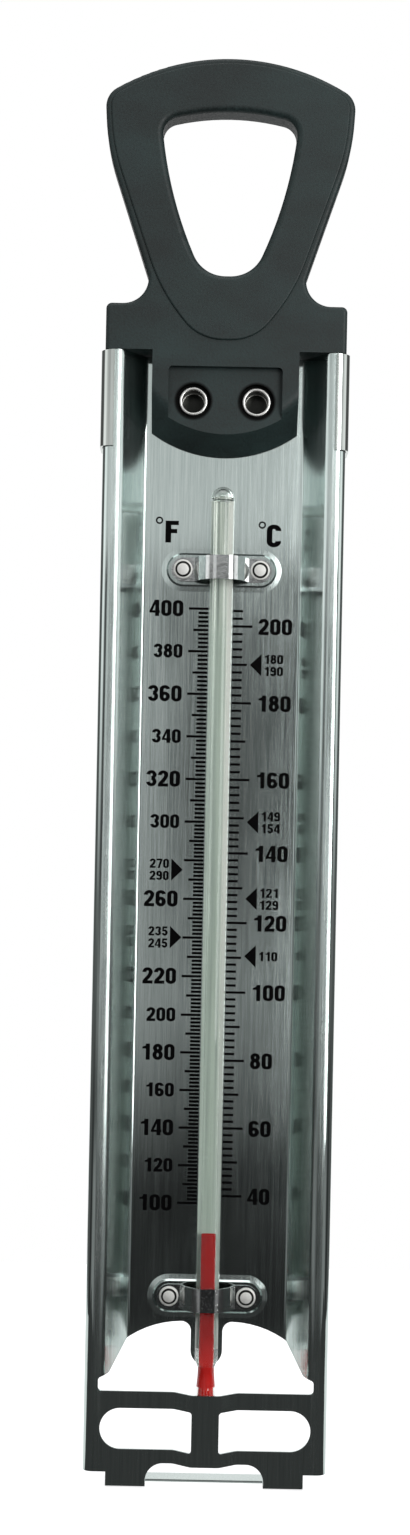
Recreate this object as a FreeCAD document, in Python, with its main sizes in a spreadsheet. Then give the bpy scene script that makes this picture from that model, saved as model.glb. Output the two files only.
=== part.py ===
"""Paddle thermometer for sugar, jam and deep frying, as a parametric assembly.

A stamped stainless paddle carries a glass tube with red liquid, a black moulded handle and a pan clip
that slides on its rims. Millimetres. +Z runs up the paddle from the feet, the scale faces -Y, and the
origin is the middle of the strip that joins the two feet, on their underside.
"""
import FreeCAD, Part
import os

import Sketcher
from FreeCAD import Placement, Rotation, Vector

# Driving dimensions, in millimetres, each written once.
SIZES = {
    # the stamped sheet and its section
    "sheet_gauge": 0.5,
    "paddle_width": 51.9,
    "paddle_top": 242.1,
    "front_setback": 7.25,
    "side_depth": 8.5,
    "rim_land": 3.8,
    "rim_bend": 2.1,
    "face_recess": 6.5,
    "wall_run": 5.15,
    "face_bend": 1.0,
    "stub_margin": 1.15,
    "stub_height": 7.0,
    # the bulb guard and the feet
    "rim_foot": 3.2,
    "bow_width": 13.6,
    "bow_land": 6.0,
    "bow_rise": 3.0,
    "bow_bend": 1.6,
    "slot_floor": 8.1,
    "slot_height": 8.7,
    "slot_margin": 3.5,
    "slot_corner": 0.6,
    "guard_rail": 3.6,
    "guard_bar": 5.8,
    "foot_inset": 4.9,
    "foot_depth": 9.8,
    "foot_bend": 0.9,
    "arch_span": 25.2,
    "arch_top": 5.2,
    "arch_corner": 3.8,
    "arch_depth": 4.7,
    # the two windows beside the bulb
    "window_height": 13.8,
    "window_flat": 5.6,
    "window_crown": 21.0,
    "window_shoulder_drop": 3.8,
    "window_shoulder_inset": 3.6,
    "window_heel_rise": 3.5,
    "window_heel_inset": 2.2,
    "window_margin": 3.0,
    "window_corner": 0.8,
    "tongue_width": 6.8,
    "tongue_lift": 4.2,
    "tongue_corner": 2.1,
    # the glass tube
    "tube_width": 4.95,
    "tube_headroom": 6.8,
    "tube_cap": 3.0,
    "shoulder_lift": 2.4,
    "neck_run": 2.2,
    "neck_width": 3.5,
    "bulb_taper": 6.3,
    "bulb_width": 4.3,
    "bulb_lift": 1.3,
    "bulb_wall": 0.35,
    "bulb_bend": 4.0,
    "throat_height": 0.6,
    "neck_bend": 1.2,
    "bore_width": 2.1,
    "bore_thickness": 0.4,
    "backing_width": 3.7,
    "backing_thickness": 0.2,
    "backing_setback": 0.8,
    "backing_lift": 2.0,
    "backing_clearance": 0.02,
    "liquid_height": 28.5,
    "liquid_clearance": 0.04,
    # the straps that hold the tube
    "upper_strap_drop": 17.5,
    "lower_strap_lift": 5.5,
    "strap_height": 5.1,
    "strap_gauge": 0.4,
    "strap_flat": 5.6,
    "strap_step": 2.6,
    "strap_knee": 4.6,
    "strap_crown": 2.3,
    "strap_crown_bend": 3.0,
    "strap_bend": 0.5,
    "strap_clearance": 0.05,
    "strap_rivet_spacing": 16.6,
    "strap_rivet_shank": 2.6,
    "strap_rivet_head": 4.2,
    "strap_rivet_boss": 2.7,
    "strap_rivet_head_height": 0.6,
    "strap_rivet_groove": 0.2,
    "strap_rivet_tail": 4.0,
    "rivet_head_edge": 0.2,
    "seat_margin": 0.65,
    "seat_rise": 0.45,
    "seat_slope": 0.4,
    "seat_foot": 1.05,
    "seat_foot_rise": 0.12,
    # the handle
    "block_gap": 0.1,
    "block_height": 9.9,
    "block_inset": 0.25,
    "block_corner": 1.2,
    "block_rear_inset": 0.4,
    "neck_notch": 5.4,
    "neck_corner": 1.5,
    "notch_ledge": 3.5,
    "ring_thickness": 5.3,
    "ring_flare": 1.0,
    "ring_band": 12.15,
    "ring_top_band": 13.5,
    "ring_crown": 48.0,
    "ring_corner": 4.5,
    "ring_side_bend": 45.0,
    "ring_side_drop": 11.0,
    "ring_side_lean": 0.6,
    "ring_rounding": 0.85,
    "panel_rise": 0.4,
    "panel_inset": 1.15,
    "panel_rounding": 0.38,
    "panel_tip_width": 11.8,
    "panel_tip_lift": 2.2,
    "panel_tip_inset": 3.8,
    "panel_waist_inset": 2.5,
    "panel_waist_lift": 2.7,
    "panel_waist_bend": 40.0,
    "loop_lift": 6.1,
    "loop_floor_width": 10.4,
    "loop_floor_bend": 7.4,
    "loop_side_bend": 88.0,
    "loop_height": 32.8,
    "loop_crown": 50.0,
    "loop_corner": 3.5,
    "loop_rounding": 1.3,
    "apron_margin": 1.35,
    "apron_length": 21.6,
    "apron_crown": 27.0,
    "apron_bevel": 6.0,
    "apron_edge": 1.0,
    "apron_rounding": 3.0,
    "apron_gap": 0.05,
    "pocket_margin": 3.5,
    "pocket_drop": 3.4,
    "pocket_depth": 1.5,
    "pocket_corner": 0.9,
    "handle_rivet_drop": 10.5,
    "handle_rivet_inset": 5.4,
    "handle_rivet_shank": 5.3,
    "handle_rivet_ring": 6.2,
    "handle_rivet_bore": 4.8,
    "handle_rivet_bore_depth": 3.6,
    "handle_rivet_ring_height": 0.7,
    "handle_rivet_roll": 0.3,
    "handle_rivet_head": 8.6,
    "handle_rivet_head_height": 1.0,
    "rivet_well": 7.4,
    "rivet_well_depth": 1.1,
    # the pan clip
    "clip_height": 20.4,
    "clip_headroom": 0.3,
    "clip_gauge": 0.5,
    "clip_clearance": 0.1,
    "clip_lip": 2.4,
    "clip_rear_bend": 0.25,
    "hook_width": 14.0,
    "hook_rise": 2.6,
    "hook_overlap": 2.0,
    "hook_gap": 5.2,
    "hook_pinch": 1.6,
    "hook_pinch_drop": 26.0,
    "hook_flare": 3.0,
    "hook_length": 31.0,
    "hook_bend": 2.4,
    "hook_toe_bend": 1.5,
    "hook_corner": 3.0,
    # running clearance of a rivet's shank in its hole
    "rivet_clearance": 0.05,
}

# How far an edge's bounds may stray from the size that it is picked by.
SLACK = 0.5

PLANES = {
    "XY": Rotation(),
    "XZ": Rotation(Vector(1, 0, 0), 90),
    "YZ": Rotation(Vector(1, 1, 1), 120),
}
BOTH_SIDES = (("left", -1), ("right", 1))


class Size(float):
    """A length that keeps the spreadsheet expression it was worked out from."""

    def __new__(cls, value, text):
        size = super().__new__(cls, value)
        size.text = text
        return size

    def __add__(self, other):
        return Size(float(self) + float(other), f"({self.text} + {text_of(other)})")

    def __radd__(self, other):
        return Size(float(other) + float(self), f"({text_of(other)} + {self.text})")

    def __sub__(self, other):
        return Size(float(self) - float(other), f"({self.text} - {text_of(other)})")

    def __rsub__(self, other):
        return Size(float(other) - float(self), f"({text_of(other)} - {self.text})")

    def __mul__(self, other):
        return Size(float(self) * float(other), f"({self.text} * {text_of(other)})")

    __rmul__ = __mul__

    def __truediv__(self, other):
        return Size(float(self) / float(other), f"({self.text} / {text_of(other)})")

    def __neg__(self):
        return self * -1


ZERO = Size(0, "0")


def text_of(value):
    return value.text if isinstance(value, Size) else repr(float(value))


class Corner:
    """A corner of an outline, with its rounding and the radius of the arc that leads to the next corner.

    The arc bulges to the right of the way round when its radius is positive, and to the left when negative.
    """

    def __init__(self, across, up, rounding=None, arc=None):
        self.across = across
        self.up = up
        self.rounding = rounding
        self.arc = arc
        self.point = Vector(float(across), float(up), 0)

    def mirrored(self):
        return Corner(-self.across, self.up, self.rounding)


def make_sheet(document):
    sheet = document.addObject("Spreadsheet::Sheet", "sizes")
    for row, (name, value) in enumerate(SIZES.items(), 1):
        sheet.set(f"A{row}", name)
        sheet.set(f"B{row}", str(value))
        sheet.setAlias(f"B{row}", name)
    document.recompute()
    return sheet


class Sizes:
    """The spreadsheet's cells by name, as sizes that can be added up and bound."""

    def __init__(self, sheet):
        for name in SIZES:
            setattr(self, name, Size(sheet.get(name), f"{sheet.Name}.{name}"))


def bind(thing, path, value):
    """Ties a property to the spreadsheet's cells."""
    thing.setExpression(path, text_of(value))


def arc_or_line(start, end, radius):
    if radius is None:
        return Part.LineSegment(start, end)
    chord = end - start
    right = Vector(chord.y, -chord.x, 0).normalize()
    reach = abs(float(radius))
    rise = reach - max(reach ** 2 - chord.Length ** 2 / 4, 0) ** 0.5
    bulge = right * (rise if radius > 0 else -rise)
    middle = (start + end) * 0.5 + bulge
    return Part.Arc(start, middle, end) if radius > 0 else Part.Arc(end, middle, start)


def end_at(sketch, index, point):
    """Which end of an edge lies at a point, as the sketcher counts them."""
    edge = sketch.Geometry[index]
    return 1 if (edge.StartPoint - point).Length < (edge.EndPoint - point).Length else 2


def near(sketch, index, point):
    """A spot on an edge, a quarter of the way along from the end at a point."""
    edge = sketch.Geometry[index]
    share = 0.25 if end_at(sketch, index, point) == 1 else 0.75
    return edge.value(edge.FirstParameter + share * (edge.LastParameter - edge.FirstParameter))


def named(sketch, kind, name, *where):
    index = sketch.addConstraint(Sketcher.Constraint(kind, *where))
    sketch.renameConstraint(index, name)


def hold_arc(sketch, name, edge, start, end):
    """Holds an arc by its radius, or a half circle by its centre, and returns the size that holds it."""
    chord = end.point - start.point
    if abs(chord.Length - 2 * abs(float(start.arc))) > 1e-6:
        named(sketch, "Radius", name, edge, abs(float(start.arc)))
        return start.arc if start.arc > 0 else -start.arc
    upright = abs(chord.x) < 1e-6
    kind, held_on, size = ("DistanceX", -2, start.across) if upright else ("DistanceY", -1, start.up)
    if abs(float(size)) < 1e-9:
        sketch.addConstraint(Sketcher.Constraint("PointOnObject", edge, 3, held_on))
    else:
        named(sketch, kind, name, -1, 1, edge, 3, float(size))
    return size


def hold_corner(sketch, number, corner, edge, end):
    """Holds one end of an edge, or a point, at a corner's place."""
    for axis, kind, held_on, value in (
        ("across", "DistanceX", -2, corner.across),
        ("up", "DistanceY", -1, corner.up),
    ):
        if abs(float(value)) < 1e-9:
            sketch.addConstraint(Sketcher.Constraint("PointOnObject", edge, end, held_on))
        else:
            named(sketch, kind, f"{axis}{number}", -1, 1, edge, end, float(value))


def round_corner(sketch, number, corner, before, after):
    """Rounds a corner. A point stays where the two edges would have met, and holds them there."""
    point = sketch.addGeometry(Part.Point(corner.point), True)
    hold_corner(sketch, number, corner, point, 1)
    for edge in (before, after):
        sketch.addConstraint(Sketcher.Constraint("PointOnObject", point, 1, edge))
    starts = [near(sketch, edge, corner.point) for edge in (before, after)]
    sketch.fillet(before, after, *starts, float(corner.rounding), True, False)
    rounded = [i for i, g in enumerate(sketch.Geometry) if isinstance(g, Part.ArcOfCircle)][-1]
    named(sketch, "Radius", f"round{number}", rounded, float(corner.rounding))


def draw(sketch, corners, closed=True):
    """Draws an outline through its corners, holds each corner by its sizes, then rounds the corners."""
    count = len(corners)
    edges = []
    for number in range(count if closed else count - 1):
        here, there = corners[number], corners[(number + 1) % count]
        edges.append(sketch.addGeometry(arc_or_line(here.point, there.point, here.arc)))
    for number, corner in enumerate(corners):
        leaving = edges[number] if number < len(edges) else edges[-1]
        end = end_at(sketch, leaving, corner.point)
        if closed or 0 < number < count - 1:
            before = edges[number - 1]
            arriving = end_at(sketch, before, corner.point)
            sketch.addConstraint(Sketcher.Constraint("Coincident", before, arriving, leaving, end))
        if corner.rounding is None:
            hold_corner(sketch, number, corner, leaving, end)
    arc_sizes = {}
    for number, corner in enumerate(corners):
        if corner.arc is not None:
            there = corners[(number + 1) % count]
            arc_sizes[number] = hold_arc(sketch, f"arc{number}", edges[number], corner, there)
    for number, corner in enumerate(corners):
        if corner.rounding is not None:
            round_corner(sketch, number, corner, edges[number - 1], edges[number])
    held = {constraint.Name for constraint in sketch.Constraints}
    for number, corner in enumerate(corners):
        for name, value in (
            (f"across{number}", corner.across),
            (f"up{number}", corner.up),
            (f"arc{number}", arc_sizes.get(number)),
            (f"round{number}", corner.rounding),
        ):
            if name in held and isinstance(value, Size):
                sketch.setExpression(f"Constraints.{name}", value.text)


def free_sketch(document, name, plane, setback, corners, closed=True):
    """A sketch on a plane parallel to a base plane, moved along that plane's normal by setback."""
    sketch = document.addObject("Sketcher::SketchObject", name)
    normal = PLANES[plane].multVec(Vector(0, 0, 1))
    sketch.Placement = Placement(normal * float(setback), PLANES[plane])
    axis = {"XY": "z", "XZ": "y", "YZ": "x"}[plane]
    bind(sketch, f"Placement.Base.{axis}", -setback if plane == "XZ" else setback)
    draw(sketch, corners, closed)
    return sketch


def extrude(document, name, profile, length, symmetric=False):
    solid = document.addObject("Part::Extrusion", name)
    solid.Base = profile
    solid.DirMode = "Custom"
    placement = profile.Source.Placement if profile.isDerivedFrom("Part::Offset2D") else profile.Placement
    solid.Dir = placement.Rotation.multVec(Vector(0, 0, 1))
    solid.Solid = True
    solid.Symmetric = symmetric
    bind(solid, "LengthFwd", length)
    return solid


def sheet_strip(document, name, plane, setback, path, gauge, length, symmetric=False):
    """Sheet bent along an open path and extruded. A positive gauge lies to the left of the path."""
    line = free_sketch(document, f"{name}_path", plane, setback, path, closed=False)
    section = document.addObject("Part::Offset2D", f"{name}_section")
    section.Source = line
    section.Mode = "Skin"
    section.Join = "Intersection"
    section.Fill = True
    bind(section, "Value", -gauge)
    return extrude(document, name, section, length, symmetric)


def fused(document, name, pieces):
    whole = document.addObject("Part::MultiFuse", name)
    whole.Shapes = pieces
    whole.Refine = True
    return whole


def cut(document, name, base, tools):
    result = document.addObject("Part::Cut", name)
    result.Base = base
    result.Tool = tools[0] if len(tools) == 1 else fused(document, f"{name}_tools", tools)
    result.Refine = True
    return result


def common(document, name, base, tool):
    shared = document.addObject("Part::Common", name)
    shared.Base = base
    shared.Tool = tool
    return shared


def cross_hole(document, name, across, up, radius, front, depth):
    """A round cutter that runs from the plane y = front towards +Y."""
    hole = document.addObject("Part::Cylinder", name)
    hole.Placement = Placement(Vector(), Rotation(Vector(1, 0, 0), -90))
    bind(hole, "Radius", radius)
    bind(hole, "Height", depth)
    bind(hole, "Placement.Base.x", across)
    bind(hole, "Placement.Base.y", front)
    bind(hole, "Placement.Base.z", up)
    return hole


def pill(half_length, half_height, middle):
    """The four corners of a flat oval, its ends full rounds."""
    straight = half_length - half_height
    return [
        Corner(-straight, middle - half_height),
        Corner(straight, middle - half_height, arc=half_height),
        Corner(straight, middle + half_height),
        Corner(-straight, middle + half_height, arc=half_height),
    ]


def beside_arc(radius, across):
    """How far along its middle line an arc's end lies from its centre, when it ends a given way across."""
    square = radius * radius - across * across
    return Size(float(square) ** 0.5, f"sqrt({square.text})")


class Layout:
    """Places that several pieces share, worked out from the driving sizes."""

    def __init__(self, s):
        self.depths(s)
        self.widths(s)
        self.guard_heights(s)
        self.handle_heights(s)
        self.tube_heights(s)

    def depths(self, s):
        self.front = -s.front_setback
        self.rear = self.front + s.side_depth
        self.face = self.front + s.face_recess
        self.face_rear = self.face + s.sheet_gauge
        self.seat = self.face - s.seat_rise
        self.tube_axis = self.seat - s.tube_width / 2
        self.strap_inside = self.seat - s.tube_width - s.strap_clearance
        self.pocket_floor = self.front + s.pocket_depth
        self.well_floor = self.pocket_floor + s.rivet_well_depth
        self.block_rear = self.rear - s.block_rear_inset
        self.section_depth = s.foot_depth + s.bow_rise

    def widths(self, s):
        """Half widths, from the centre line outwards."""
        self.rim = s.paddle_width / 2
        self.face_edge = self.rim - s.rim_land - s.wall_run
        self.foot = self.rim - s.foot_inset
        self.slot_reach = self.rim - s.slot_margin
        self.window_reach = self.rim - s.window_margin
        self.window_heel = self.window_reach - s.window_heel_inset
        self.window_shoulder = self.window_heel - s.window_shoulder_inset
        self.block = self.rim - s.block_inset
        self.notch = self.block - s.notch_ledge
        self.ring = self.block + s.ring_flare
        self.ring_side = self.ring - s.ring_side_lean
        self.loop = self.ring - s.ring_band
        self.neck = self.notch - s.neck_notch
        self.panel_waist = self.neck - s.panel_waist_inset
        self.apron = self.face_edge - s.apron_margin
        self.stub = self.apron - s.stub_margin
        self.pocket = self.apron - s.pocket_margin
        self.handle_rivet = self.pocket - s.handle_rivet_inset
        self.strap_end = s.strap_rivet_spacing / 2 + s.strap_height / 2

    def guard_heights(self, s):
        self.guard_top = s.slot_floor + s.slot_height + s.guard_rail
        self.window_top = self.guard_top + s.window_height
        self.window_shoulder_height = self.window_top - s.window_shoulder_drop
        self.window_heel_height = self.guard_top + s.window_heel_rise
        self.tongue_tip = self.guard_top + s.tongue_lift

    def handle_heights(self, s):
        self.block_floor = s.paddle_top + s.block_gap
        self.block_top = self.block_floor + s.block_height
        self.loop_floor = self.block_top + s.loop_lift
        self.loop_shoulder = self.loop_floor + s.loop_height
        self.crown_middle = self.loop_shoulder + s.ring_top_band - s.ring_crown
        self.shoulder = self.crown_middle + beside_arc(s.ring_crown, self.ring)
        self.ring_side_height = self.shoulder - s.ring_side_drop
        self.panel_tip_height = self.block_floor + s.panel_tip_lift
        self.panel_waist_height = self.block_top + s.panel_waist_lift
        self.apron_floor = self.block_floor - s.apron_length
        self.apron_side_floor = self.apron_floor + s.apron_crown - beside_arc(s.apron_crown, self.apron)
        self.pocket_top = self.block_floor - s.pocket_drop
        self.handle_rivet_height = self.block_floor - s.handle_rivet_drop

    def tube_heights(self, s):
        self.tube_top = self.apron_floor - s.tube_headroom
        self.bore_top = self.tube_top - s.tube_cap
        self.shoulder_height = self.tongue_tip + s.shoulder_lift
        self.neck_height = self.shoulder_height - s.neck_run
        self.bulb_height = self.neck_height - s.bulb_taper
        self.bulb_tip = s.slot_floor + s.bulb_lift
        self.bore_foot = self.neck_height + s.throat_height
        self.backing_foot = self.shoulder_height + s.backing_lift
        self.liquid_level = self.bore_foot + s.liquid_height
        self.strap_heights = (
            ("upper", self.tube_top - s.upper_strap_drop),
            ("lower", self.window_top + s.lower_strap_lift),
        )


def paddle_body(document, s, at):
    """The one-piece stamping: channel with rolled rims, bulb guard, feet, windows and strap seats."""
    half = at.rim
    right_rim = [
        Corner(at.face_edge, at.face, s.face_bend),
        Corner(half - s.rim_land, at.front, s.rim_bend),
        Corner(half, at.front, s.rim_bend),
        Corner(half, at.rear),
    ]
    channel_path = [corner.mirrored() for corner in reversed(right_rim)] + right_rim
    channel = sheet_strip(
        document, "channel", "XY", at.guard_top, channel_path, s.sheet_gauge, s.paddle_top - at.guard_top
    )
    right_guard = [
        Corner(s.bow_land / 2, at.front - s.bow_rise, s.bow_bend),
        Corner(s.bow_width / 2, at.front, s.bow_bend),
        Corner(half, at.front, s.rim_bend),
        Corner(half, at.rear),
    ]
    guard_path = [corner.mirrored() for corner in reversed(right_guard)] + right_guard
    guard = sheet_strip(
        document, "guard", "XY", s.rim_foot, guard_path, s.sheet_gauge, at.guard_top - s.rim_foot
    )
    foot_path = [
        Corner(at.front, s.arch_top),
        Corner(at.front, ZERO, s.foot_bend),
        Corner(at.front + s.foot_depth, ZERO),
    ]
    feet = sheet_strip(
        document, "feet", "YZ", ZERO, foot_path, s.sheet_gauge, at.foot * 2, symmetric=True
    )
    stub = document.addObject("Part::Box", "stub")
    bind(stub, "Length", at.stub * 2)
    bind(stub, "Width", s.sheet_gauge)
    bind(stub, "Height", s.stub_height + s.sheet_gauge)
    bind(stub, "Placement.Base.x", -at.stub)
    bind(stub, "Placement.Base.y", at.face)
    bind(stub, "Placement.Base.z", s.paddle_top - s.sheet_gauge)
    seats = []
    cutters = [window(document, s, at), arch(document, s, at)]
    for name, height in at.strap_heights:
        seats.append(seat(document, f"{name}_seat", s, at, height, at.face))
        cutters.append(seat(document, f"{name}_dent", s, at, height, at.face_rear))
    solid = fused(document, "paddle_solid", [channel, guard, feet, stub] + seats)
    for name, side in BOTH_SIDES:
        cutters.append(guard_slot(document, f"{name}_slot", s, at, side))
        cutters.append(
            cross_hole(
                document,
                f"{name}_handle_rivet_hole",
                at.handle_rivet * side,
                at.handle_rivet_height,
                s.handle_rivet_shank / 2 + s.rivet_clearance,
                at.front,
                s.side_depth,
            )
        )
        for strap, height in at.strap_heights:
            cutters.append(
                cross_hole(
                    document,
                    f"{strap}_{name}_strap_rivet_hole",
                    s.strap_rivet_spacing / 2 * side,
                    height,
                    s.strap_rivet_shank / 2 + s.rivet_clearance,
                    at.front,
                    s.side_depth,
                )
            )
    return cut(document, "paddle_body", solid, cutters)


def seat(document, name, s, at, height, surface):
    """A flat oval raised towards the front, its sides steep above and easing out at the foot."""
    sections = []
    for rise, margin in (
        (ZERO, s.seat_margin + s.seat_slope + s.seat_foot),
        (s.seat_foot_rise, s.seat_margin + s.seat_slope),
        (s.seat_rise, s.seat_margin),
    ):
        level = surface - rise
        corners = pill(at.strap_end + margin, s.strap_height / 2 + margin, height)
        sections.append(free_sketch(document, f"{name}_{len(sections)}", "XZ", -level, corners))
    raised = document.addObject("Part::Loft", name)
    raised.Sections = sections
    raised.Solid = True
    raised.Ruled = True
    return raised


def window(document, s, at):
    """The opening above the guard, shaped round the tongue that backs the lower end of the tube."""
    half_tongue = s.tongue_width / 2
    outline = [
        Corner(at.window_reach, at.guard_top, s.window_corner),
        Corner(at.window_reach, at.window_heel_height - s.window_corner, s.window_corner),
        Corner(at.window_heel, at.window_heel_height, s.window_corner),
        Corner(at.window_shoulder, at.window_shoulder_height, arc=s.window_crown),
        Corner(s.window_flat, at.window_top),
        Corner(half_tongue, at.window_top, s.tongue_corner),
        Corner(half_tongue, at.tongue_tip + half_tongue, arc=-half_tongue),
        Corner(-half_tongue, at.tongue_tip + half_tongue),
        Corner(-half_tongue, at.window_top, s.tongue_corner),
        Corner(-s.window_flat, at.window_top, arc=s.window_crown),
        Corner(-at.window_shoulder, at.window_shoulder_height),
        Corner(-at.window_heel, at.window_heel_height, s.window_corner),
        Corner(-at.window_reach, at.window_heel_height - s.window_corner, s.window_corner),
        Corner(-at.window_reach, at.guard_top, s.window_corner),
    ]
    sketch = free_sketch(document, "window_outline", "XZ", ZERO, outline)
    return extrude(document, "window", sketch, at.section_depth * 2, symmetric=True)


def arch(document, s, at):
    """The notch between the feet, which runs back into the flange."""
    half = s.arch_span / 2
    below = -s.sheet_gauge
    outline = [
        Corner(-half, below),
        Corner(half, below),
        Corner(half, s.arch_top, s.arch_corner),
        Corner(-half, s.arch_top, s.arch_corner),
    ]
    sketch = free_sketch(document, "arch_outline", "XZ", -(at.front + s.arch_depth), outline)
    return extrude(document, "arch", sketch, s.arch_depth + s.bow_rise + s.sheet_gauge)


def guard_slot(document, name, s, at, side):
    """A slot in the guard, its outer end a full round."""
    radius = s.slot_height / 2
    inner = s.guard_bar / 2 * side
    outer = (at.slot_reach - radius) * side
    top = s.slot_floor + s.slot_height
    outline = [
        Corner(inner, s.slot_floor, s.slot_corner),
        Corner(outer, s.slot_floor, arc=radius * side),
        Corner(outer, top),
        Corner(inner, top, s.slot_corner),
    ]
    sketch = free_sketch(document, f"{name}_outline", "XZ", ZERO, outline)
    return extrude(document, name, sketch, at.section_depth * 2, symmetric=True)


def make_body(document, name):
    body = document.addObject("PartDesign::Body", name)
    body.Label = name
    return body


def body_sketch(body, name, plane, setback, corners):
    """A sketch on one of the body's own origin planes, moved along that plane's normal by setback."""
    sketch = body.newObject("Sketcher::SketchObject", name)
    base = [feature for feature in body.Origin.OriginFeatures if feature.Role == f"{plane}_Plane"][0]
    sketch.AttachmentSupport = [(base, "")]
    sketch.MapMode = "FlatFace"
    bind(sketch, "AttachmentOffset.Base.z", setback)
    if corners:
        draw(sketch, corners)
    return sketch


def pad_forward(body, name, corners, back, front):
    """Adds an outline drawn in the front view, from the plane y = back to the plane y = front."""
    pad = body.newObject("PartDesign::Pad", name)
    pad.Profile = body_sketch(body, f"{name}_outline", "XZ", -back, corners)
    bind(pad, "Length", back - front)
    return pad


def pad_upward(body, name, corners, floor, height):
    """Adds an outline drawn in plan, from the plane z = floor upwards."""
    pad = body.newObject("PartDesign::Pad", name)
    pad.Profile = body_sketch(body, f"{name}_outline", "XY", floor, corners)
    bind(pad, "Length", height)
    return pad


def pocket_back(body, name, corners, front, depth):
    """Cuts an outline drawn in the front view, from the plane y = front towards the rear."""
    before = volume_now(body)
    pocket = body.newObject("PartDesign::Pocket", name)
    pocket.Profile = body_sketch(body, f"{name}_outline", "XZ", -front, corners)
    bind(pocket, "Length", depth)
    return checked_cut(body, pocket, before)


def pocket_up(body, name, corners, floor, height):
    """Cuts an outline drawn in plan, from the plane z = floor upwards."""
    before = volume_now(body)
    pocket = body.newObject("PartDesign::Pocket", name)
    pocket.Profile = body_sketch(body, f"{name}_outline", "XY", floor, corners)
    pocket.Reversed = True
    bind(pocket, "Length", height)
    return checked_cut(body, pocket, before)


def volume_now(body):
    body.Document.recompute()
    return body.Tip.Shape.Volume


def checked_cut(body, feature, volume_before):
    body.Document.recompute()
    if not feature.Shape.Volume < volume_before:
        raise RuntimeError(f"{feature.Name} cuts nothing")
    return feature


def turned(body, name, plane, setback, corners, cutting=False):
    """A profile turned round the sketch's upright axis, added or cut away."""
    before = volume_now(body) if cutting else 0
    feature = body.newObject("PartDesign::Groove" if cutting else "PartDesign::Revolution", name)
    sketch = body_sketch(body, f"{name}_profile", plane, setback, corners)
    feature.Profile = sketch
    feature.ReferenceAxis = (sketch, ["V_Axis"])
    feature.Angle = 360
    return checked_cut(body, feature, before) if cutting else feature


def box_corners(left, right, low, high, top_rounding=None):
    return [
        Corner(left, low),
        Corner(right, low),
        Corner(right, high, top_rounding),
        Corner(left, high, top_rounding),
    ]


def circle_pocket(body, name, across, up, radius, front, depth):
    """Cuts a round hole from the plane y = front towards the rear."""
    before = volume_now(body)
    sketch = body_sketch(body, f"{name}_outline", "XZ", -front, [])
    sketch.addGeometry(Part.Circle(Vector(float(across), float(up), 0), Vector(0, 0, 1), float(radius)))
    for kind, where, value in (
        ("DistanceX", (-1, 1, 0, 3), across),
        ("DistanceY", (-1, 1, 0, 3), up),
        ("Radius", (0,), radius),
    ):
        named(sketch, kind, f"hole_{kind}", *where, float(value))
        sketch.setExpression(f"Constraints.hole_{kind}", value.text)
    pocket = body.newObject("PartDesign::Pocket", name)
    pocket.Profile = sketch
    bind(pocket, "Length", depth)
    return checked_cut(body, pocket, before)


def soften(body, name, edges_wanted, radius):
    """Rounds the edges of the body's tip that a test picks."""
    body.Document.recompute()
    base = body.Tip
    edges = [f"Edge{i}" for i, edge in enumerate(base.Shape.Edges, 1) if edges_wanted(edge)]
    rounding = body.newObject("PartDesign::Fillet", name)
    rounding.Base = (base, edges)
    bind(rounding, "Radius", radius)
    return rounding


def lies_at(edge, depth):
    """Whether an edge lies in the plane y = depth."""
    box = edge.BoundBox
    return abs(box.YMin - depth) < 1e-4 and abs(box.YMax - depth) < 1e-4


def both_ways(right_side, closing_arc=None):
    """Right-hand corners from the bottom up, then their mirror images from the top down."""
    left_side = []
    for number in reversed(range(len(right_side))):
        corner = right_side[number]
        arc = right_side[number - 1].arc if number else closing_arc
        left_side.append(Corner(-corner.across, corner.up, corner.rounding, arc))
    return right_side + left_side


def arc_radius(half_width, rise):
    """The radius of an arc with a given half width and rise."""
    return (half_width * half_width + rise * rise) / (rise * 2)


def handle_outline(s, at):
    return both_ways(
        [
            Corner(at.block, at.block_floor),
            Corner(at.block, at.block_top, s.block_corner),
            Corner(at.notch, at.block_top, arc=-s.neck_notch),
            Corner(at.neck, at.block_top + s.neck_notch, s.neck_corner),
            Corner(at.ring_side, at.ring_side_height, s.ring_side_bend),
            Corner(at.ring, at.shoulder, s.ring_corner, s.ring_crown),
        ]
    )


def panel_outline(s, at):
    """The raised panel follows the ring at an inset, and ends in a rounded point on the block."""
    side = at.ring - s.panel_inset
    crown = s.ring_crown - s.panel_inset
    shoulder = at.crown_middle + beside_arc(crown, side)
    return both_ways(
        [
            Corner(s.panel_tip_width / 2, at.panel_tip_height, at.panel_waist - s.panel_tip_inset),
            Corner(at.panel_waist, at.panel_waist_height, s.panel_waist_bend),
            Corner(side - s.ring_side_lean, at.ring_side_height, s.ring_side_bend - s.panel_inset),
            Corner(side, shoulder, s.ring_corner - s.panel_inset, crown),
        ]
    )


def loop_outline(s, at):
    """The opening that a finger or a hook goes through."""
    floor = Corner(s.loop_floor_width / 2, at.loop_floor, s.loop_floor_bend, s.loop_side_bend)
    shoulder = Corner(at.loop, at.loop_shoulder, s.loop_corner, s.loop_crown)
    return both_ways([floor, shoulder])


def apron_outline(s, at):
    half = at.apron
    side = [Corner(half, at.apron_side_floor), Corner(half, at.block_floor + s.block_corner)]
    return both_ways(side, closing_arc=s.apron_crown)


def within_loop(edge, s, at):
    """Whether an edge lies inside the opening's outline, its rounding included."""
    box = edge.BoundBox
    return (
        box.XMax < at.loop + SLACK
        and box.XMin > -at.loop - SLACK
        and box.ZMin > at.loop_floor - SLACK
        and box.ZMax < at.loop_shoulder + s.loop_corner
    )


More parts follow.
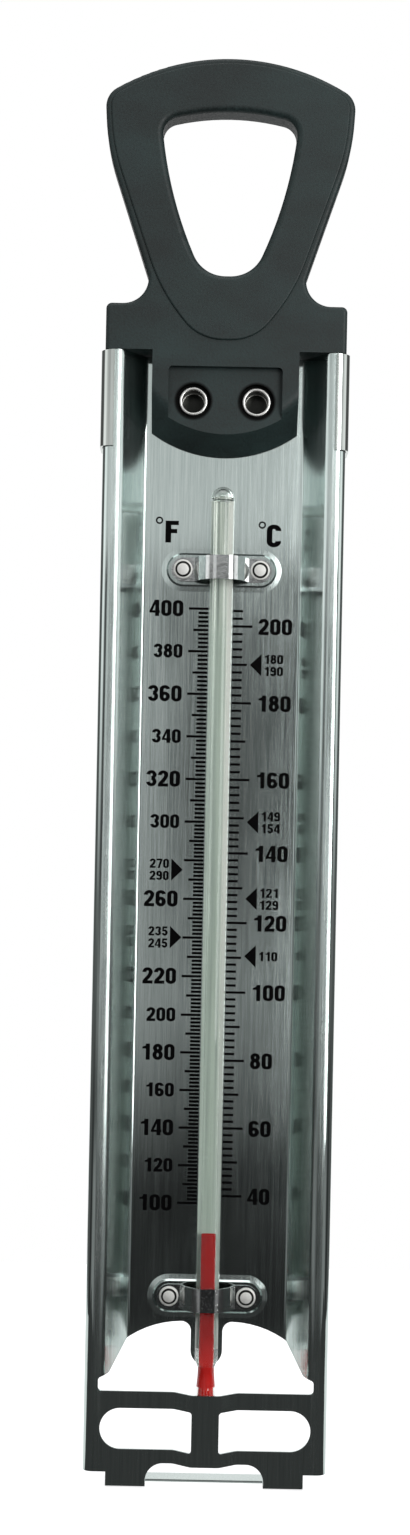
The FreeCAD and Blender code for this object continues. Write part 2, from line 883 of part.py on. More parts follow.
def bevel_apron(body, s, at):
    """Slopes the apron's curved lower end back to a thin edge, and rounds the brow of the slope."""
    body.Document.recompute()
    base = body.Tip

    def lower_front(edge):
        return lies_at(edge, at.front) and edge.BoundBox.ZMax < at.block_floor - s.apron_bevel

    edges = [f"Edge{i}" for i, edge in enumerate(base.Shape.Edges, 1) if lower_front(edge)]
    chamfer = body.newObject("PartDesign::Chamfer", "apron_bevel")
    chamfer.Base = (base, edges)
    chamfer.ChamferType = "Two distances"
    bind(chamfer, "Size", s.apron_bevel)
    bind(chamfer, "Size2", s.face_recess - s.apron_gap - s.apron_edge)
    body.Document.recompute()
    soften(
        body,
        "apron_brow",
        lambda edge: lies_at(edge, at.front) and edge.BoundBox.ZMax < at.block_floor - SLACK
        and edge.BoundBox.XLength > at.apron * 2 - SLACK,
        s.apron_rounding,
    )


def handle(document, s, at):
    """The moulded handle: ring, block and the tongue that is riveted to the face."""
    body = make_body(document, "handle")
    ring_back = at.front + s.ring_thickness
    pad_forward(body, "ring_and_block", handle_outline(s, at), ring_back, at.front)
    soften(
        body,
        "front_rounding",
        lambda edge: lies_at(edge, at.front) and edge.BoundBox.ZMax > at.block_floor + s.block_corner,
        s.ring_rounding,
    )
    soften(
        body,
        "back_rounding",
        lambda edge: lies_at(edge, ring_back) and edge.BoundBox.ZMax > at.block_floor + s.block_corner,
        s.ring_rounding,
    )
    back = box_corners(-at.block, at.block, at.block_floor, at.block_top, s.block_corner)
    pad_forward(body, "block_back", back, at.block_rear, at.front + s.ring_rounding)
    pad_forward(body, "panel", panel_outline(s, at), at.front + s.ring_rounding, at.front - s.panel_rise)
    soften(
        body,
        "panel_rounding",
        lambda edge: lies_at(edge, at.front - s.panel_rise),
        s.panel_rounding,
    )
    pad_forward(body, "apron", apron_outline(s, at), at.face - s.apron_gap, at.front)
    bevel_apron(body, s, at)
    pocket_back(body, "loop", loop_outline(s, at), at.front - s.panel_rise, s.ring_thickness + s.panel_rise)
    soften(
        body,
        "loop_rounding",
        lambda edge: lies_at(edge, at.front - s.panel_rise) and within_loop(edge, s, at),
        s.loop_rounding,
    )
    pocket_floor = at.apron_floor - s.pocket_depth
    pocket = box_corners(-at.pocket, at.pocket, pocket_floor, at.pocket_top, s.pocket_corner)
    pocket_back(body, "rivet_pocket", pocket, at.front, s.pocket_depth)
    for name, side in BOTH_SIDES:
        across = at.handle_rivet * side
        height = at.handle_rivet_height
        circle_pocket(
            body, f"{name}_well", across, height, s.rivet_well / 2, at.pocket_floor, s.rivet_well_depth
        )
        shank = s.handle_rivet_shank / 2 + s.rivet_clearance
        circle_pocket(body, f"{name}_rivet_hole", across, height, shank, at.pocket_floor, s.face_recess)
    stub_half = at.stub + s.apron_gap
    slot = [
        Corner(-stub_half, at.face - s.apron_gap),
        Corner(stub_half, at.face - s.apron_gap),
        Corner(stub_half, at.face_rear + s.apron_gap),
        Corner(-stub_half, at.face_rear + s.apron_gap),
    ]
    pocket_up(body, "stub_slot", slot, at.block_floor, s.stub_height + s.apron_gap)
    return body


def place_body(body, across, up):
    bind(body, "Placement.Base.x", across)
    bind(body, "Placement.Base.z", up)
    return body


def handle_rivet(document, name, s, at, side):
    """A hollow-ended rivet: a rolled ring with a blind bore in front, a shallow domed head behind."""
    body = make_body(document, name)
    bore = s.handle_rivet_bore / 2
    ring = s.handle_rivet_ring / 2
    shank = s.handle_rivet_shank / 2
    head = s.handle_rivet_head / 2
    ring_front = at.well_floor - s.handle_rivet_ring_height
    edge = at.face_rear + s.rivet_head_edge
    crown = at.face_rear + s.handle_rivet_head_height
    turned(
        body,
        f"{name}_form",
        "XY",
        ZERO,
        [
            Corner(ZERO, ring_front + s.handle_rivet_bore_depth),
            Corner(bore, ring_front + s.handle_rivet_bore_depth),
            Corner(bore, ring_front, s.handle_rivet_roll),
            Corner(ring, ring_front, s.handle_rivet_roll),
            Corner(ring, at.well_floor),
            Corner(shank, at.well_floor),
            Corner(shank, at.face_rear),
            Corner(head, at.face_rear),
            Corner(head, edge, arc=arc_radius(head, crown - edge)),
            Corner(ZERO, crown),
        ],
    )
    return place_body(body, at.handle_rivet * side, at.handle_rivet_height)


def strap_rivet(document, name, s, at, side, height):
    """A small rivet through a strap and its seat, with a grooved head in front and a dome behind."""
    body = make_body(document, name)
    boss = s.strap_rivet_boss / 2
    head = s.strap_rivet_head / 2
    shank = s.strap_rivet_shank / 2
    strap_front = at.seat - s.strap_gauge
    boss_front = strap_front - s.strap_rivet_head_height
    groove_floor = boss_front + s.strap_rivet_groove
    rim_front = boss_front + s.strap_rivet_groove / 2
    dent_floor = at.face_rear - s.seat_rise
    edge = dent_floor + s.rivet_head_edge
    crown = dent_floor + s.strap_rivet_head_height
    tail = s.strap_rivet_tail / 2
    turned(
        body,
        f"{name}_form",
        "XY",
        ZERO,
        [
            Corner(ZERO, boss_front),
            Corner(ZERO, crown, arc=-arc_radius(tail, crown - edge)),
            Corner(tail, edge),
            Corner(tail, dent_floor),
            Corner(shank, dent_floor),
            Corner(shank, strap_front),
            Corner(head, strap_front),
            Corner(head, rim_front, s.strap_rivet_groove / 2),
            Corner(boss + s.strap_rivet_groove * 2, rim_front),
            Corner(boss + s.strap_rivet_groove, groove_floor),
            Corner(boss + s.strap_rivet_groove / 2, groove_floor),
            Corner(boss, boss_front, s.strap_rivet_groove / 2),
        ],
    )
    return place_body(body, s.strap_rivet_spacing / 2 * side, height)


def strap(document, name, s, at, height):
    """A bent strap over the tube, its ends full rounds, held to its seat by two rivets."""
    knee = at.seat - s.strap_step
    right_half = [
        Corner(s.strap_crown, at.strap_inside, s.strap_crown_bend),
        Corner(s.strap_knee, knee, s.strap_bend),
        Corner(s.strap_flat, at.seat, s.strap_bend),
        Corner(at.strap_end, at.seat),
    ]
    path = [corner.mirrored() for corner in reversed(right_half)] + right_half
    low = height - s.strap_height / 2
    bent = sheet_strip(document, f"{name}_sheet", "XY", low, path, -s.strap_gauge, s.strap_height)
    outline = free_sketch(
        document, f"{name}_outline", "XZ", ZERO, pill(at.strap_end, s.strap_height / 2, height)
    )
    ends = extrude(document, f"{name}_ends", outline, s.front_setback * 2)
    rounded = common(document, f"{name}_blank", bent, ends)
    holes = [
        cross_hole(
            document,
            f"{name}_{side_name}_hole",
            s.strap_rivet_spacing / 2 * side,
            height,
            s.strap_rivet_shank / 2 + s.rivet_clearance,
            at.front,
            s.side_depth,
        )
        for side_name, side in BOTH_SIDES
    ]
    return cut(document, name, rounded, holes)


def half_profile(s, at, inset, top):
    """The right-hand side of the tube from its lower tip, moved in by an inset, up to a top corner."""
    bulb = s.bulb_width / 2 - inset
    tip = at.bulb_tip + inset
    neck = s.neck_width / 2 - inset
    return [
        Corner(ZERO, tip, arc=bulb),
        Corner(bulb, tip + bulb),
        Corner(bulb, at.bulb_height, s.bulb_bend),
        Corner(neck, at.neck_height, s.neck_bend),
    ] + top


def glass_tube(document, s, at):
    """The sealed stem with its bulb, its flat bore and the slot for the backing."""
    body = make_body(document, "glass_tube")
    stem = s.tube_width / 2
    outside = [
        Corner(stem, at.shoulder_height, s.neck_bend),
        Corner(stem, at.tube_top - stem, arc=stem),
        Corner(ZERO, at.tube_top),
    ]
    turned(body, "tube_form", "XZ", -at.tube_axis, half_profile(s, at, ZERO, outside))
    cavity = half_profile(s, at, s.bulb_wall, cavity_top(s, at))
    turned(body, "bulb_cavity", "XZ", -at.tube_axis, cavity, cutting=True)
    bore = box_corners(
        -s.bore_width / 2,
        s.bore_width / 2,
        at.tube_axis - s.bore_thickness / 2,
        at.tube_axis + s.bore_thickness / 2,
    )
    pocket_up(body, "bore", bore, at.neck_height, at.bore_top - at.neck_height)
    slot_front = at.tube_axis + s.backing_setback
    slot = box_corners(
        -s.backing_width / 2, s.backing_width / 2, slot_front, slot_front + s.backing_thickness
    )
    pocket_up(body, "backing_slot", slot, at.backing_foot, at.bore_top - at.backing_foot)
    return body


def cavity_top(s, at):
    """The closing corners of the bulb's cavity, where it narrows into the bore."""
    throat = s.bore_width / 2
    return [
        Corner(throat, at.bore_foot),
        Corner(ZERO, at.bore_foot),
    ]


def bulb_liquid(document, s, at):
    body = make_body(document, "bulb_liquid")
    gap = s.liquid_clearance
    throat = s.bore_width / 2 - gap
    top = [Corner(throat, at.bore_foot - gap), Corner(ZERO, at.bore_foot - gap)]
    turned(body, "bulb_liquid_form", "XZ", -at.tube_axis, half_profile(s, at, s.bulb_wall + gap, top))
    return body


def ribbon(document, name, width, thickness, front, low, high):
    """A flat upright ribbon, centred on the tube's axis."""
    body = make_body(document, name)
    outline = box_corners(-width / 2, width / 2, front, front + thickness)
    pad_upward(body, f"{name}_form", outline, low, high - low)
    return body


def liquid_column(document, s, at):
    gap = s.liquid_clearance * 2
    return ribbon(
        document,
        "liquid_column",
        s.bore_width - gap,
        s.bore_thickness - gap,
        at.tube_axis - s.bore_thickness / 2 + s.liquid_clearance,
        at.bore_foot,
        at.liquid_level,
    )


def tube_backing(document, s, at):
    """The enamel stripe behind the bore, held inside the glass."""
    gap = s.backing_clearance
    return ribbon(
        document,
        "tube_backing",
        s.backing_width - gap * 2,
        s.backing_thickness - gap * 2,
        at.tube_axis + s.backing_setback + gap,
        at.backing_foot + gap,
        at.bore_top - gap,
    )


def pan_clip(document, s, at):
    """The sleeve that slides on the rims, and the hook folded over behind it from the same sheet."""
    inside = at.rim + s.clip_clearance
    lip = at.front - s.clip_clearance
    rear = at.rear + s.clip_clearance
    front_bend = s.rim_bend + s.clip_clearance
    top = at.block_floor - s.clip_headroom
    left_half = [
        Corner(s.clip_lip - inside, lip),
        Corner(-inside, lip, front_bend),
        Corner(-inside, rear, s.clip_rear_bend),
    ]
    path = left_half + [corner.mirrored() for corner in reversed(left_half)]
    sleeve = sheet_strip(
        document, "clip_sleeve", "XY", top - s.clip_height, path, s.clip_gauge, s.clip_height
    )
    gap_front = rear + s.clip_gauge
    gap_rear = gap_front + s.hook_gap
    fold = top + s.hook_rise
    pinch = gap_front + s.hook_pinch
    toe = fold - s.hook_length
    hook_path = [
        Corner(gap_front, top - s.hook_overlap),
        Corner(gap_front, fold, s.hook_bend),
        Corner(gap_rear, fold, s.hook_bend),
        Corner(pinch, fold - s.hook_pinch_drop, s.hook_toe_bend),
        Corner(pinch + s.hook_flare, toe),
    ]
    strip = sheet_strip(
        document, "hook_sheet", "YZ", ZERO, hook_path, s.clip_gauge, s.hook_width, symmetric=True
    )
    half = s.hook_width / 2
    outline = free_sketch(
        document,
        "hook_outline",
        "XZ",
        ZERO,
        [
            Corner(-half, toe, s.hook_corner),
            Corner(half, toe, s.hook_corner),
            Corner(half, fold + s.hook_rise),
            Corner(-half, fold + s.hook_rise),
        ],
    )
    trim = extrude(document, "hook_trim", outline, s.paddle_width, symmetric=True)
    hook = common(document, "hook", strip, trim)
    return fused(document, "pan_clip", [sleeve, hook])


def main():
    document = FreeCAD.newDocument("paddle_thermometer")
    sizes = Sizes(make_sheet(document))
    at = Layout(sizes)
    pieces = [
        paddle_body(document, sizes, at),
        handle(document, sizes, at),
        glass_tube(document, sizes, at),
        tube_backing(document, sizes, at),
        bulb_liquid(document, sizes, at),
        liquid_column(document, sizes, at),
        pan_clip(document, sizes, at),
    ]
    for side_name, side in BOTH_SIDES:
        pieces.append(handle_rivet(document, f"handle_rivet_{side_name}", sizes, at, side))
    for strap_name, height in at.strap_heights:
        pieces.append(strap(document, f"{strap_name}_strap", sizes, at, height))
        for side_name, side in BOTH_SIDES:
            name = f"{strap_name}_strap_rivet_{side_name}"
            pieces.append(strap_rivet(document, name, sizes, at, side, height))
    document.recompute()
    export(document, pieces)


def export(document, pieces):
    """Checks every object of the document, then writes one STEP file for each piece."""
    failed = [item.Name for item in document.Objects if {"Invalid", "Error"} & set(item.State)]
    if failed:
        raise RuntimeError(f"these objects did not recompute: {failed}")
    for piece in pieces:
        if piece.Shape.isNull() or not piece.Shape.isValid():
            raise RuntimeError(f"{piece.Label} has no valid shape")
        if len(piece.Shape.Solids) != 1:
            raise RuntimeError(f"{piece.Label} is {len(piece.Shape.Solids)} solids")
    os.makedirs("parts", exist_ok=True)
    for piece in pieces:
        piece.Shape.exportStep(f"parts/{piece.Label}.step")


main()
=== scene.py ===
import math

import bmesh
import bpy
from mathutils import Matrix, Vector
from mathutils.geometry import delaunay_2d_cdt


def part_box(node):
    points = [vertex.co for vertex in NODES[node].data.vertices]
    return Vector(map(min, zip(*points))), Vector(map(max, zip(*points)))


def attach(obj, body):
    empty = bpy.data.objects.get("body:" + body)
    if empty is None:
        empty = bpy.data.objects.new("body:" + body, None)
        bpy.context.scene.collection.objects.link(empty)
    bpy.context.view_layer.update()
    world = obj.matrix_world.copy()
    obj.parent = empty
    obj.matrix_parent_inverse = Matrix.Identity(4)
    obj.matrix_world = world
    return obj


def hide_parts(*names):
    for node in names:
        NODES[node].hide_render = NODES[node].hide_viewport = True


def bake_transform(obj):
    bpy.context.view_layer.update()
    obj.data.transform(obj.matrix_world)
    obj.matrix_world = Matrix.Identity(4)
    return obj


# A paddle thermometer: brushed stainless paddle with a printed scale, glass tube with a red column,
# black moulded handle, sliding pan clip. Lengths are in metres, as in the frame, and MM is one millimetre.

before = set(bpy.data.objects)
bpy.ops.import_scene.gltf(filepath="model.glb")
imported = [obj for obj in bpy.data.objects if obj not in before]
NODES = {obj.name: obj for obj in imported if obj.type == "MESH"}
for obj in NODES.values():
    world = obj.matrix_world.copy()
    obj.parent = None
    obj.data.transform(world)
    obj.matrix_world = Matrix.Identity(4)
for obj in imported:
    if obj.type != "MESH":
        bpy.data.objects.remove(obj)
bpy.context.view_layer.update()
MM = 0.001

# ---------------------------------------------------------------- small tools


def linear(hex_colour):
    """Linear RGBA from an sRGB hex colour."""
    parts = [int(hex_colour[i : i + 2], 16) / 255 for i in (1, 3, 5)]
    return [c / 12.92 if c <= 0.04045 else ((c + 0.055) / 1.055) ** 2.4 for c in parts] + [1.0]


def level(amount):
    """Grey RGBA of one linear level."""
    return [amount, amount, amount, 1.0]


def add_node(tree, kind, inputs=None, **settings):
    """Adds a node with its settings. Inputs that are nodes, or (node, output), are linked; others are set."""
    node = tree.nodes.new(kind)
    for name, value in settings.items():
        setattr(node, name, value)
    for name, value in (inputs or {}).items():
        if isinstance(value, bpy.types.Node):
            value = (value, 0)
        if isinstance(value, tuple) and isinstance(value[0], bpy.types.Node):
            tree.links.new(value[0].outputs[value[1]], node.inputs[name])
        else:
            node.inputs[name].default_value = value
    return node


def set_stops(ramp, stops):
    """Gives a colour ramp node its stops, each a place from 0 to 1 and a colour."""
    elements = ramp.color_ramp.elements
    elements.remove(elements[1])
    elements[0].position, elements[0].color = stops[0]
    for place, colour in stops[1:]:
        elements.new(place).color = colour
    return ramp


def new_material(name):
    """A material with an empty node tree, and that tree."""
    material = bpy.data.materials.new(name)
    material.use_nodes = True
    material.node_tree.nodes.clear()
    return material, material.node_tree


def place_in_mm(tree, size):
    """A piece's own coordinates, where one unit is the given size in millimetres along x, y and z."""
    place = add_node(tree, "ShaderNodeTexCoord")
    scale = [1 / (length * MM) for length in size]
    return add_node(tree, "ShaderNodeMapping", {"Vector": (place, "Object"), "Scale": scale})


# ---------------------------------------------------------------- places on the thermometer


def first_surface(node, x, z):
    """How far back (y) a CAD node's first surface lies, looking from the front at x and z."""
    start = Vector((x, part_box(node)[0].y - 10 * MM, z))
    found, point, _, _ = NODES[node].ray_cast(start, Vector((0, 1, 0)))
    if not found:
        raise ValueError(f"nothing of {node} lies there")
    return point.y


def width_in_mm(node):
    """How wide a CAD node is, in millimetres."""
    low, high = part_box(node)
    return (high.x - low.x) / MM


TUBE_LOW, TUBE_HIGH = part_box("glass_tube")
COLUMN_LOW, COLUMN_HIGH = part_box("liquid_column")
BACKING_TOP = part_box("tube_backing")[1].z
RIVET_LOW, RIVET_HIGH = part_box("handle_rivet_right")
TUBE_AXIS = (TUBE_LOW.y + TUBE_HIGH.y) / 2
RIVET_ACROSS = (RIVET_LOW.x + RIVET_HIGH.x) / 2 / MM
RIVET_UP = (RIVET_LOW.z + RIVET_HIGH.z) / 2 / MM
FACE = first_surface("paddle_body", 13 * MM, 120 * MM)

# Over which widths the finish changes, in millimetres from the middle: where the rims' flat fronts begin,
# and where their outer bends begin.
RIM_FRONT = (22.0, 22.6)
RIM_BEND = (23.9, 24.5)


# ---------------------------------------------------------------- finishes

# The belt's lines run up the part, and a highlight spreads across them: a quarter of a turn away.
LENGTHWISE = (0.0, 0.0, 1.0)
ACROSS_THE_GRAIN = 0.25

# Stamping bows the face. As far as 17 mm from its middle it lies lower, by 0.0017 mm times the distance
# in millimetres squared.
FACE_REACH = 17.0
FACE_BOW = 0.0017


def brushed_stainless_sheet(name, streak, wave, rough, scuff, tint, glare):
    """Stainless sheet, belt-brushed along its length before stamping: fine bright and dark lines that
    run up the part, and reflections that smear sideways but stay crisp up and down. A finer belt leaves
    shallower streaks."""
    material, tree = new_material(name)
    # Belt lines are 0.05 mm wide; the wide ones are drawn at half a millimetre so that they show.
    wide = add_node(
        tree,
        "ShaderNodeTexNoise",
        {"Vector": place_in_mm(tree, (0.55, 0.55, 38)), "Scale": 1.0, "Detail": 4.0, "Roughness": 0.65},
    )
    fine = add_node(
        tree,
        "ShaderNodeTexNoise",
        {"Vector": place_in_mm(tree, (0.16, 0.16, 9)), "Scale": 1.0, "Detail": 3.0, "Roughness": 0.6},
    )
    # Handling leaves soft patches, about 14 mm across, that are a little duller.
    patches = add_node(
        tree, "ShaderNodeTexNoise", {"Vector": place_in_mm(tree, (14, 14, 22)), "Scale": 1.0, "Detail": 2.0}
    )
    lines = add_node(tree, "ShaderNodeMath", {0: wide, 1: fine}, operation="ADD")
    lines = add_node(
        tree,
        "ShaderNodeMapRange",
        {"Value": lines, "From Min": 0.72, "From Max": 1.28, "To Min": 0.0, "To Max": 1.0},
    )
    colour = add_node(
        tree, "ShaderNodeMix", {0: lines, 6: linear(tint), 7: linear(glare)}, data_type="RGBA"
    )
    dull = add_node(
        tree,
        "ShaderNodeMapRange",
        {
            "Value": patches,
            "From Min": 0.35,
            "From Max": 0.7,
            "To Min": rough * 0.85,
            "To Max": rough * 1.2,
        },
    )
    roughness = add_node(
        tree, "ShaderNodeMath", {0: lines, 1: rough * 0.35, 2: dull}, operation="MULTIPLY_ADD"
    )
    # The rims' flat fronts are scuffed from lying on worktops, and the die burnished their outer bends.
    place = add_node(tree, "ShaderNodeSeparateXYZ", {"Vector": place_in_mm(tree, (1, 1, 1))})
    outwards = add_node(tree, "ShaderNodeMath", {0: (place, "X")}, operation="ABSOLUTE")
    on_rim = add_node(
        tree,
        "ShaderNodeMapRange",
        {
            "Value": outwards,
            "From Min": RIM_FRONT[0],
            "From Max": RIM_FRONT[1],
            "To Min": 1.0,
            "To Max": scuff,
        },
    )
    on_bend = add_node(
        tree,
        "ShaderNodeMapRange",
        {
            "Value": outwards,
            "From Min": RIM_BEND[0],
            "From Max": RIM_BEND[1],
            "To Min": 1.0,
            "To Max": 0.2,
        },
    )
    roughness = add_node(tree, "ShaderNodeMath", {0: roughness, 1: on_rim}, operation="MULTIPLY")
    roughness = add_node(tree, "ShaderNodeMath", {0: roughness, 1: on_bend}, operation="MULTIPLY")
    # Stamping leaves the flat areas gently wavy, by less than a tenth of a millimetre.
    waves = add_node(
        tree, "ShaderNodeTexNoise", {"Vector": place_in_mm(tree, (11, 11, 55)), "Scale": 1.0, "Detail": 1.0}
    )
    across = add_node(tree, "ShaderNodeMath", {0: outwards, 1: FACE_REACH}, operation="MINIMUM")
    across = add_node(tree, "ShaderNodeMath", {0: across, 1: 2.0}, operation="POWER")
    bowed = add_node(
        tree, "ShaderNodeBump", {"Height": across, "Strength": 1.0, "Distance": -FACE_BOW * MM}
    )
    wavy = add_node(
        tree, "ShaderNodeBump", {"Height": waves, "Strength": 1.0, "Distance": wave * MM, "Normal": bowed}
    )
    bump = add_node(
        tree, "ShaderNodeBump", {"Height": lines, "Strength": 1.0, "Distance": streak * MM, "Normal": wavy}
    )
    steel = add_node(
        tree,
        "ShaderNodeBsdfPrincipled",
        {
            "Base Color": (colour, 2),
            "Metallic": 1.0,
            "Roughness": roughness,
            "Anisotropic": 0.9,
            "Anisotropic Rotation": ACROSS_THE_GRAIN,
            "Tangent": add_node(tree, "ShaderNodeCombineXYZ", dict(zip("XYZ", LENGTHWISE))),
            "Normal": bump,
        },
    )
    add_node(tree, "ShaderNodeOutputMaterial", {"Surface": steel})
    return material


def tumbled_bright_steel(name, rough, tint, glare):
    """Small pressed steel parts, tumbled bright: near-mirror with a shallow ripple and fine specks."""
    material, tree = new_material(name)
    ripple = add_node(
        tree,
        "ShaderNodeTexNoise",
        {"Vector": place_in_mm(tree, (1.4, 1.4, 1.4)), "Scale": 1.0, "Detail": 3.0},
    )
    specks = add_node(
        tree, "ShaderNodeTexVoronoi", {"Vector": place_in_mm(tree, (0.5, 0.5, 0.5)), "Scale": 1.0}
    )
    dents = add_node(
        tree,
        "ShaderNodeMapRange",
        {"Value": specks, "From Min": 0.05, "From Max": 0.3, "To Min": 1.0, "To Max": 0.0},
    )
    colour = add_node(
        tree, "ShaderNodeMix", {0: ripple, 6: linear(tint), 7: linear(glare)}, data_type="RGBA"
    )
    roughness = add_node(
        tree, "ShaderNodeMath", {0: dents, 1: rough * 0.6, 2: rough}, operation="MULTIPLY_ADD"
    )
    surface = add_node(tree, "ShaderNodeMath", {0: ripple, 1: dents}, operation="SUBTRACT")
    bump = add_node(tree, "ShaderNodeBump", {"Height": surface, "Strength": 1.0, "Distance": 0.01 * MM})
    steel = add_node(
        tree,
        "ShaderNodeBsdfPrincipled",
        {"Base Color": (colour, 2), "Metallic": 1.0, "Roughness": roughness, "Normal": bump},
    )
    add_node(tree, "ShaderNodeOutputMaterial", {"Surface": steel})
    return material


def headed_aluminium(name, width, shade_from, shade_to, dome, rough):
    """Soft aluminium rivets, satin where the heading tool pressed them, and painted dark as shade in the
    hollow of the head: between two radii in millimetres, on the front of a rivet of the given width."""
    soft_edge = 0.1
    material, tree = new_material(name)
    within = add_node(tree, "ShaderNodeTexCoord")
    from_middle = add_node(
        tree,
        "ShaderNodeMapping",
        {
            "Vector": (within, "Generated"),
            "Location": (-width / 2, 0, -width / 2),
            "Scale": (width, 0, width),
        },
    )
    radius = add_node(tree, "ShaderNodeVectorMath", {0: from_middle}, operation="LENGTH")
    beyond = add_node(
        tree,
        "ShaderNodeMapRange",
        {"Value": (radius, "Value"), "From Min": shade_from - soft_edge, "From Max": shade_from},
    )
    inside = add_node(
        tree,
        "ShaderNodeMapRange",
        {"Value": (radius, "Value"), "From Min": shade_to, "From Max": shade_to - soft_edge},
    )
    depth = add_node(tree, "ShaderNodeSeparateXYZ", {"Vector": (within, "Generated")})
    front = add_node(tree, "ShaderNodeMath", {0: (depth, "Y"), 1: 0.6}, operation="LESS_THAN")
    # Between the two radii, on the front only, the head is painted dark as the shade in its hollow.
    painted_shade = add_node(tree, "ShaderNodeMath", {0: beyond, 1: inside}, operation="MULTIPLY")
    painted_shade = add_node(tree, "ShaderNodeMath", {0: painted_shade, 1: front}, operation="MULTIPLY")
    marks = add_node(
        tree,
        "ShaderNodeTexNoise",
        {"Vector": place_in_mm(tree, (0.5, 0.5, 0.5)), "Scale": 1.0, "Detail": 3.0},
    )
    colour = add_node(
        tree, "ShaderNodeMix", {0: marks, 6: linear("#e4e4e0"), 7: linear("#fafaf7")}, data_type="RGBA"
    )
    colour = add_node(
        tree, "ShaderNodeMix", {0: painted_shade, 6: (colour, 2), 7: linear("#2c2d2b")}, data_type="RGBA"
    )
    roughness = add_node(
        tree, "ShaderNodeMath", {0: marks, 1: rough / 2, 2: rough}, operation="MULTIPLY_ADD"
    )
    # The head falls away with the square of the distance from its middle, so it shades as a low dome.
    fall = add_node(tree, "ShaderNodeMath", {0: (radius, "Value"), 1: 2.0}, operation="POWER")
    domed = add_node(tree, "ShaderNodeBump", {"Height": fall, "Strength": 1.0, "Distance": -dome * MM})
    bump = add_node(
        tree, "ShaderNodeBump", {"Height": marks, "Strength": 1.0, "Distance": 0.02 * MM, "Normal": domed}
    )
    aluminium = add_node(
        tree,
        "ShaderNodeBsdfPrincipled",
        {"Base Color": (colour, 2), "Metallic": 1.0, "Roughness": roughness, "Normal": bump},
    )
    add_node(tree, "ShaderNodeOutputMaterial", {"Surface": aluminium})
    return material


# How far from the handle rivets' middles the painted shade in their wells fades out, in millimetres.
WELL_SHADE_EDGE = (3.8, 4.3)


def spark_textured_nylon(name):
    """Black nylon moulded in a spark-eroded tool: a fine even grain, and a satin to matt surface."""
    material, tree = new_material(name)
    # The tool's grain is about 0.1 mm; it is drawn at 0.45 mm so that it shows.
    grain = add_node(
        tree,
        "ShaderNodeTexNoise",
        {"Vector": place_in_mm(tree, (0.45, 0.45, 0.45)), "Scale": 1.0, "Detail": 3.0, "Roughness": 0.6},
    )
    flow = add_node(
        tree, "ShaderNodeTexNoise", {"Vector": place_in_mm(tree, (16, 16, 9)), "Scale": 1.0, "Detail": 2.0}
    )
    mottle = add_node(tree, "ShaderNodeMath", {0: grain, 1: 1.0, 2: flow}, operation="MULTIPLY_ADD")
    mottle = add_node(tree, "ShaderNodeMapRange", {"Value": mottle, "From Min": 0.75, "From Max": 1.25})
    colour = add_node(
        tree, "ShaderNodeMix", {0: mottle, 6: linear("#0c1a19"), 7: linear("#1c302f")}, data_type="RGBA"
    )
    # The two wells round the handle's rivets are painted dark as shade, and made duller.
    place = add_node(tree, "ShaderNodeSeparateXYZ", {"Vector": place_in_mm(tree, (1, 1, 1))})
    across = add_node(tree, "ShaderNodeMath", {0: (place, "X")}, operation="ABSOLUTE")
    across = add_node(tree, "ShaderNodeMath", {0: across, 1: RIVET_ACROSS}, operation="SUBTRACT")
    up = add_node(tree, "ShaderNodeMath", {0: (place, "Z"), 1: RIVET_UP}, operation="SUBTRACT")
    offset = add_node(tree, "ShaderNodeCombineXYZ", {"X": across, "Y": up})
    away = add_node(tree, "ShaderNodeVectorMath", {0: offset}, operation="LENGTH")
    painted_well_shade = add_node(
        tree,
        "ShaderNodeMapRange",
        {
            "Value": (away, "Value"),
            "From Min": WELL_SHADE_EDGE[0],
            "From Max": WELL_SHADE_EDGE[1],
            "To Min": 1.0,
            "To Max": 0.0,
        },
    )
    colour = add_node(
        tree, "ShaderNodeMix", {0: painted_well_shade, 6: (colour, 2), 7: linear("#040504")}, data_type="RGBA"
    )
    shine = add_node(tree, "ShaderNodeMath", {0: painted_well_shade, 1: -0.4, 2: 0.5}, operation="MULTIPLY_ADD")
    roughness = add_node(
        tree,
        "ShaderNodeMapRange",
        {"Value": grain, "From Min": 0.3, "From Max": 0.7, "To Min": 0.42, "To Max": 0.62},
    )
    bump = add_node(tree, "ShaderNodeBump", {"Height": grain, "Strength": 1.0, "Distance": 0.03 * MM})
    nylon = add_node(
        tree,
        "ShaderNodeBsdfPrincipled",
        {
            "Base Color": (colour, 2),
            "Roughness": roughness,
            "IOR": 1.53,
            "Specular IOR Level": shine,
            "Normal": bump,
        },
    )
    add_node(tree, "ShaderNodeOutputMaterial", {"Surface": nylon})
    return material


# Borosilicate glass. What touches it from inside shines only by the step between the two indices.
GLASS_IOR = 1.473


def drawn_glass(name):
    """Thermometer tubing, drawn lengthwise from borosilicate: clear with faint lengthwise draw lines."""
    material, tree = new_material(name)
    draw_lines = add_node(
        tree,
        "ShaderNodeTexNoise",
        {"Vector": place_in_mm(tree, (0.7, 0.7, 60)), "Scale": 1.0, "Detail": 2.0},
    )
    bump = add_node(tree, "ShaderNodeBump", {"Height": draw_lines, "Strength": 1.0, "Distance": 0.004 * MM})
    glass = add_node(
        tree,
        "ShaderNodeBsdfPrincipled",
        {
            "Base Color": linear("#fafcfa"),
            "Roughness": 0.02,
            "IOR": GLASS_IOR,
            "Transmission Weight": 1.0,
            "Normal": bump,
        },
    )
    # Lamps reach what is inside the glass: shadow rays go straight through it.
    rays = add_node(tree, "ShaderNodeLightPath")
    clear = add_node(tree, "ShaderNodeBsdfTransparent", {"Color": linear("#f0f2f0")})
    both = add_node(tree, "ShaderNodeMixShader", {0: (rays, "Is Shadow Ray"), 1: glass, 2: clear})
    add_node(tree, "ShaderNodeOutputMaterial", {"Surface": both})
    return material


# In millimetres: the heights between which the stripe breaks up into streaks, how far to the right its
# painted highlight starts and ends, and the heights between which that painted highlight comes in.
STRIPE_RUNS_OUT = (180.0, 196.0)
STRIPE_RIGHT_EDGE = (0.65, 0.95)
STRIPE_HIGHLIGHT_HEIGHTS = (60.0, 130.0)


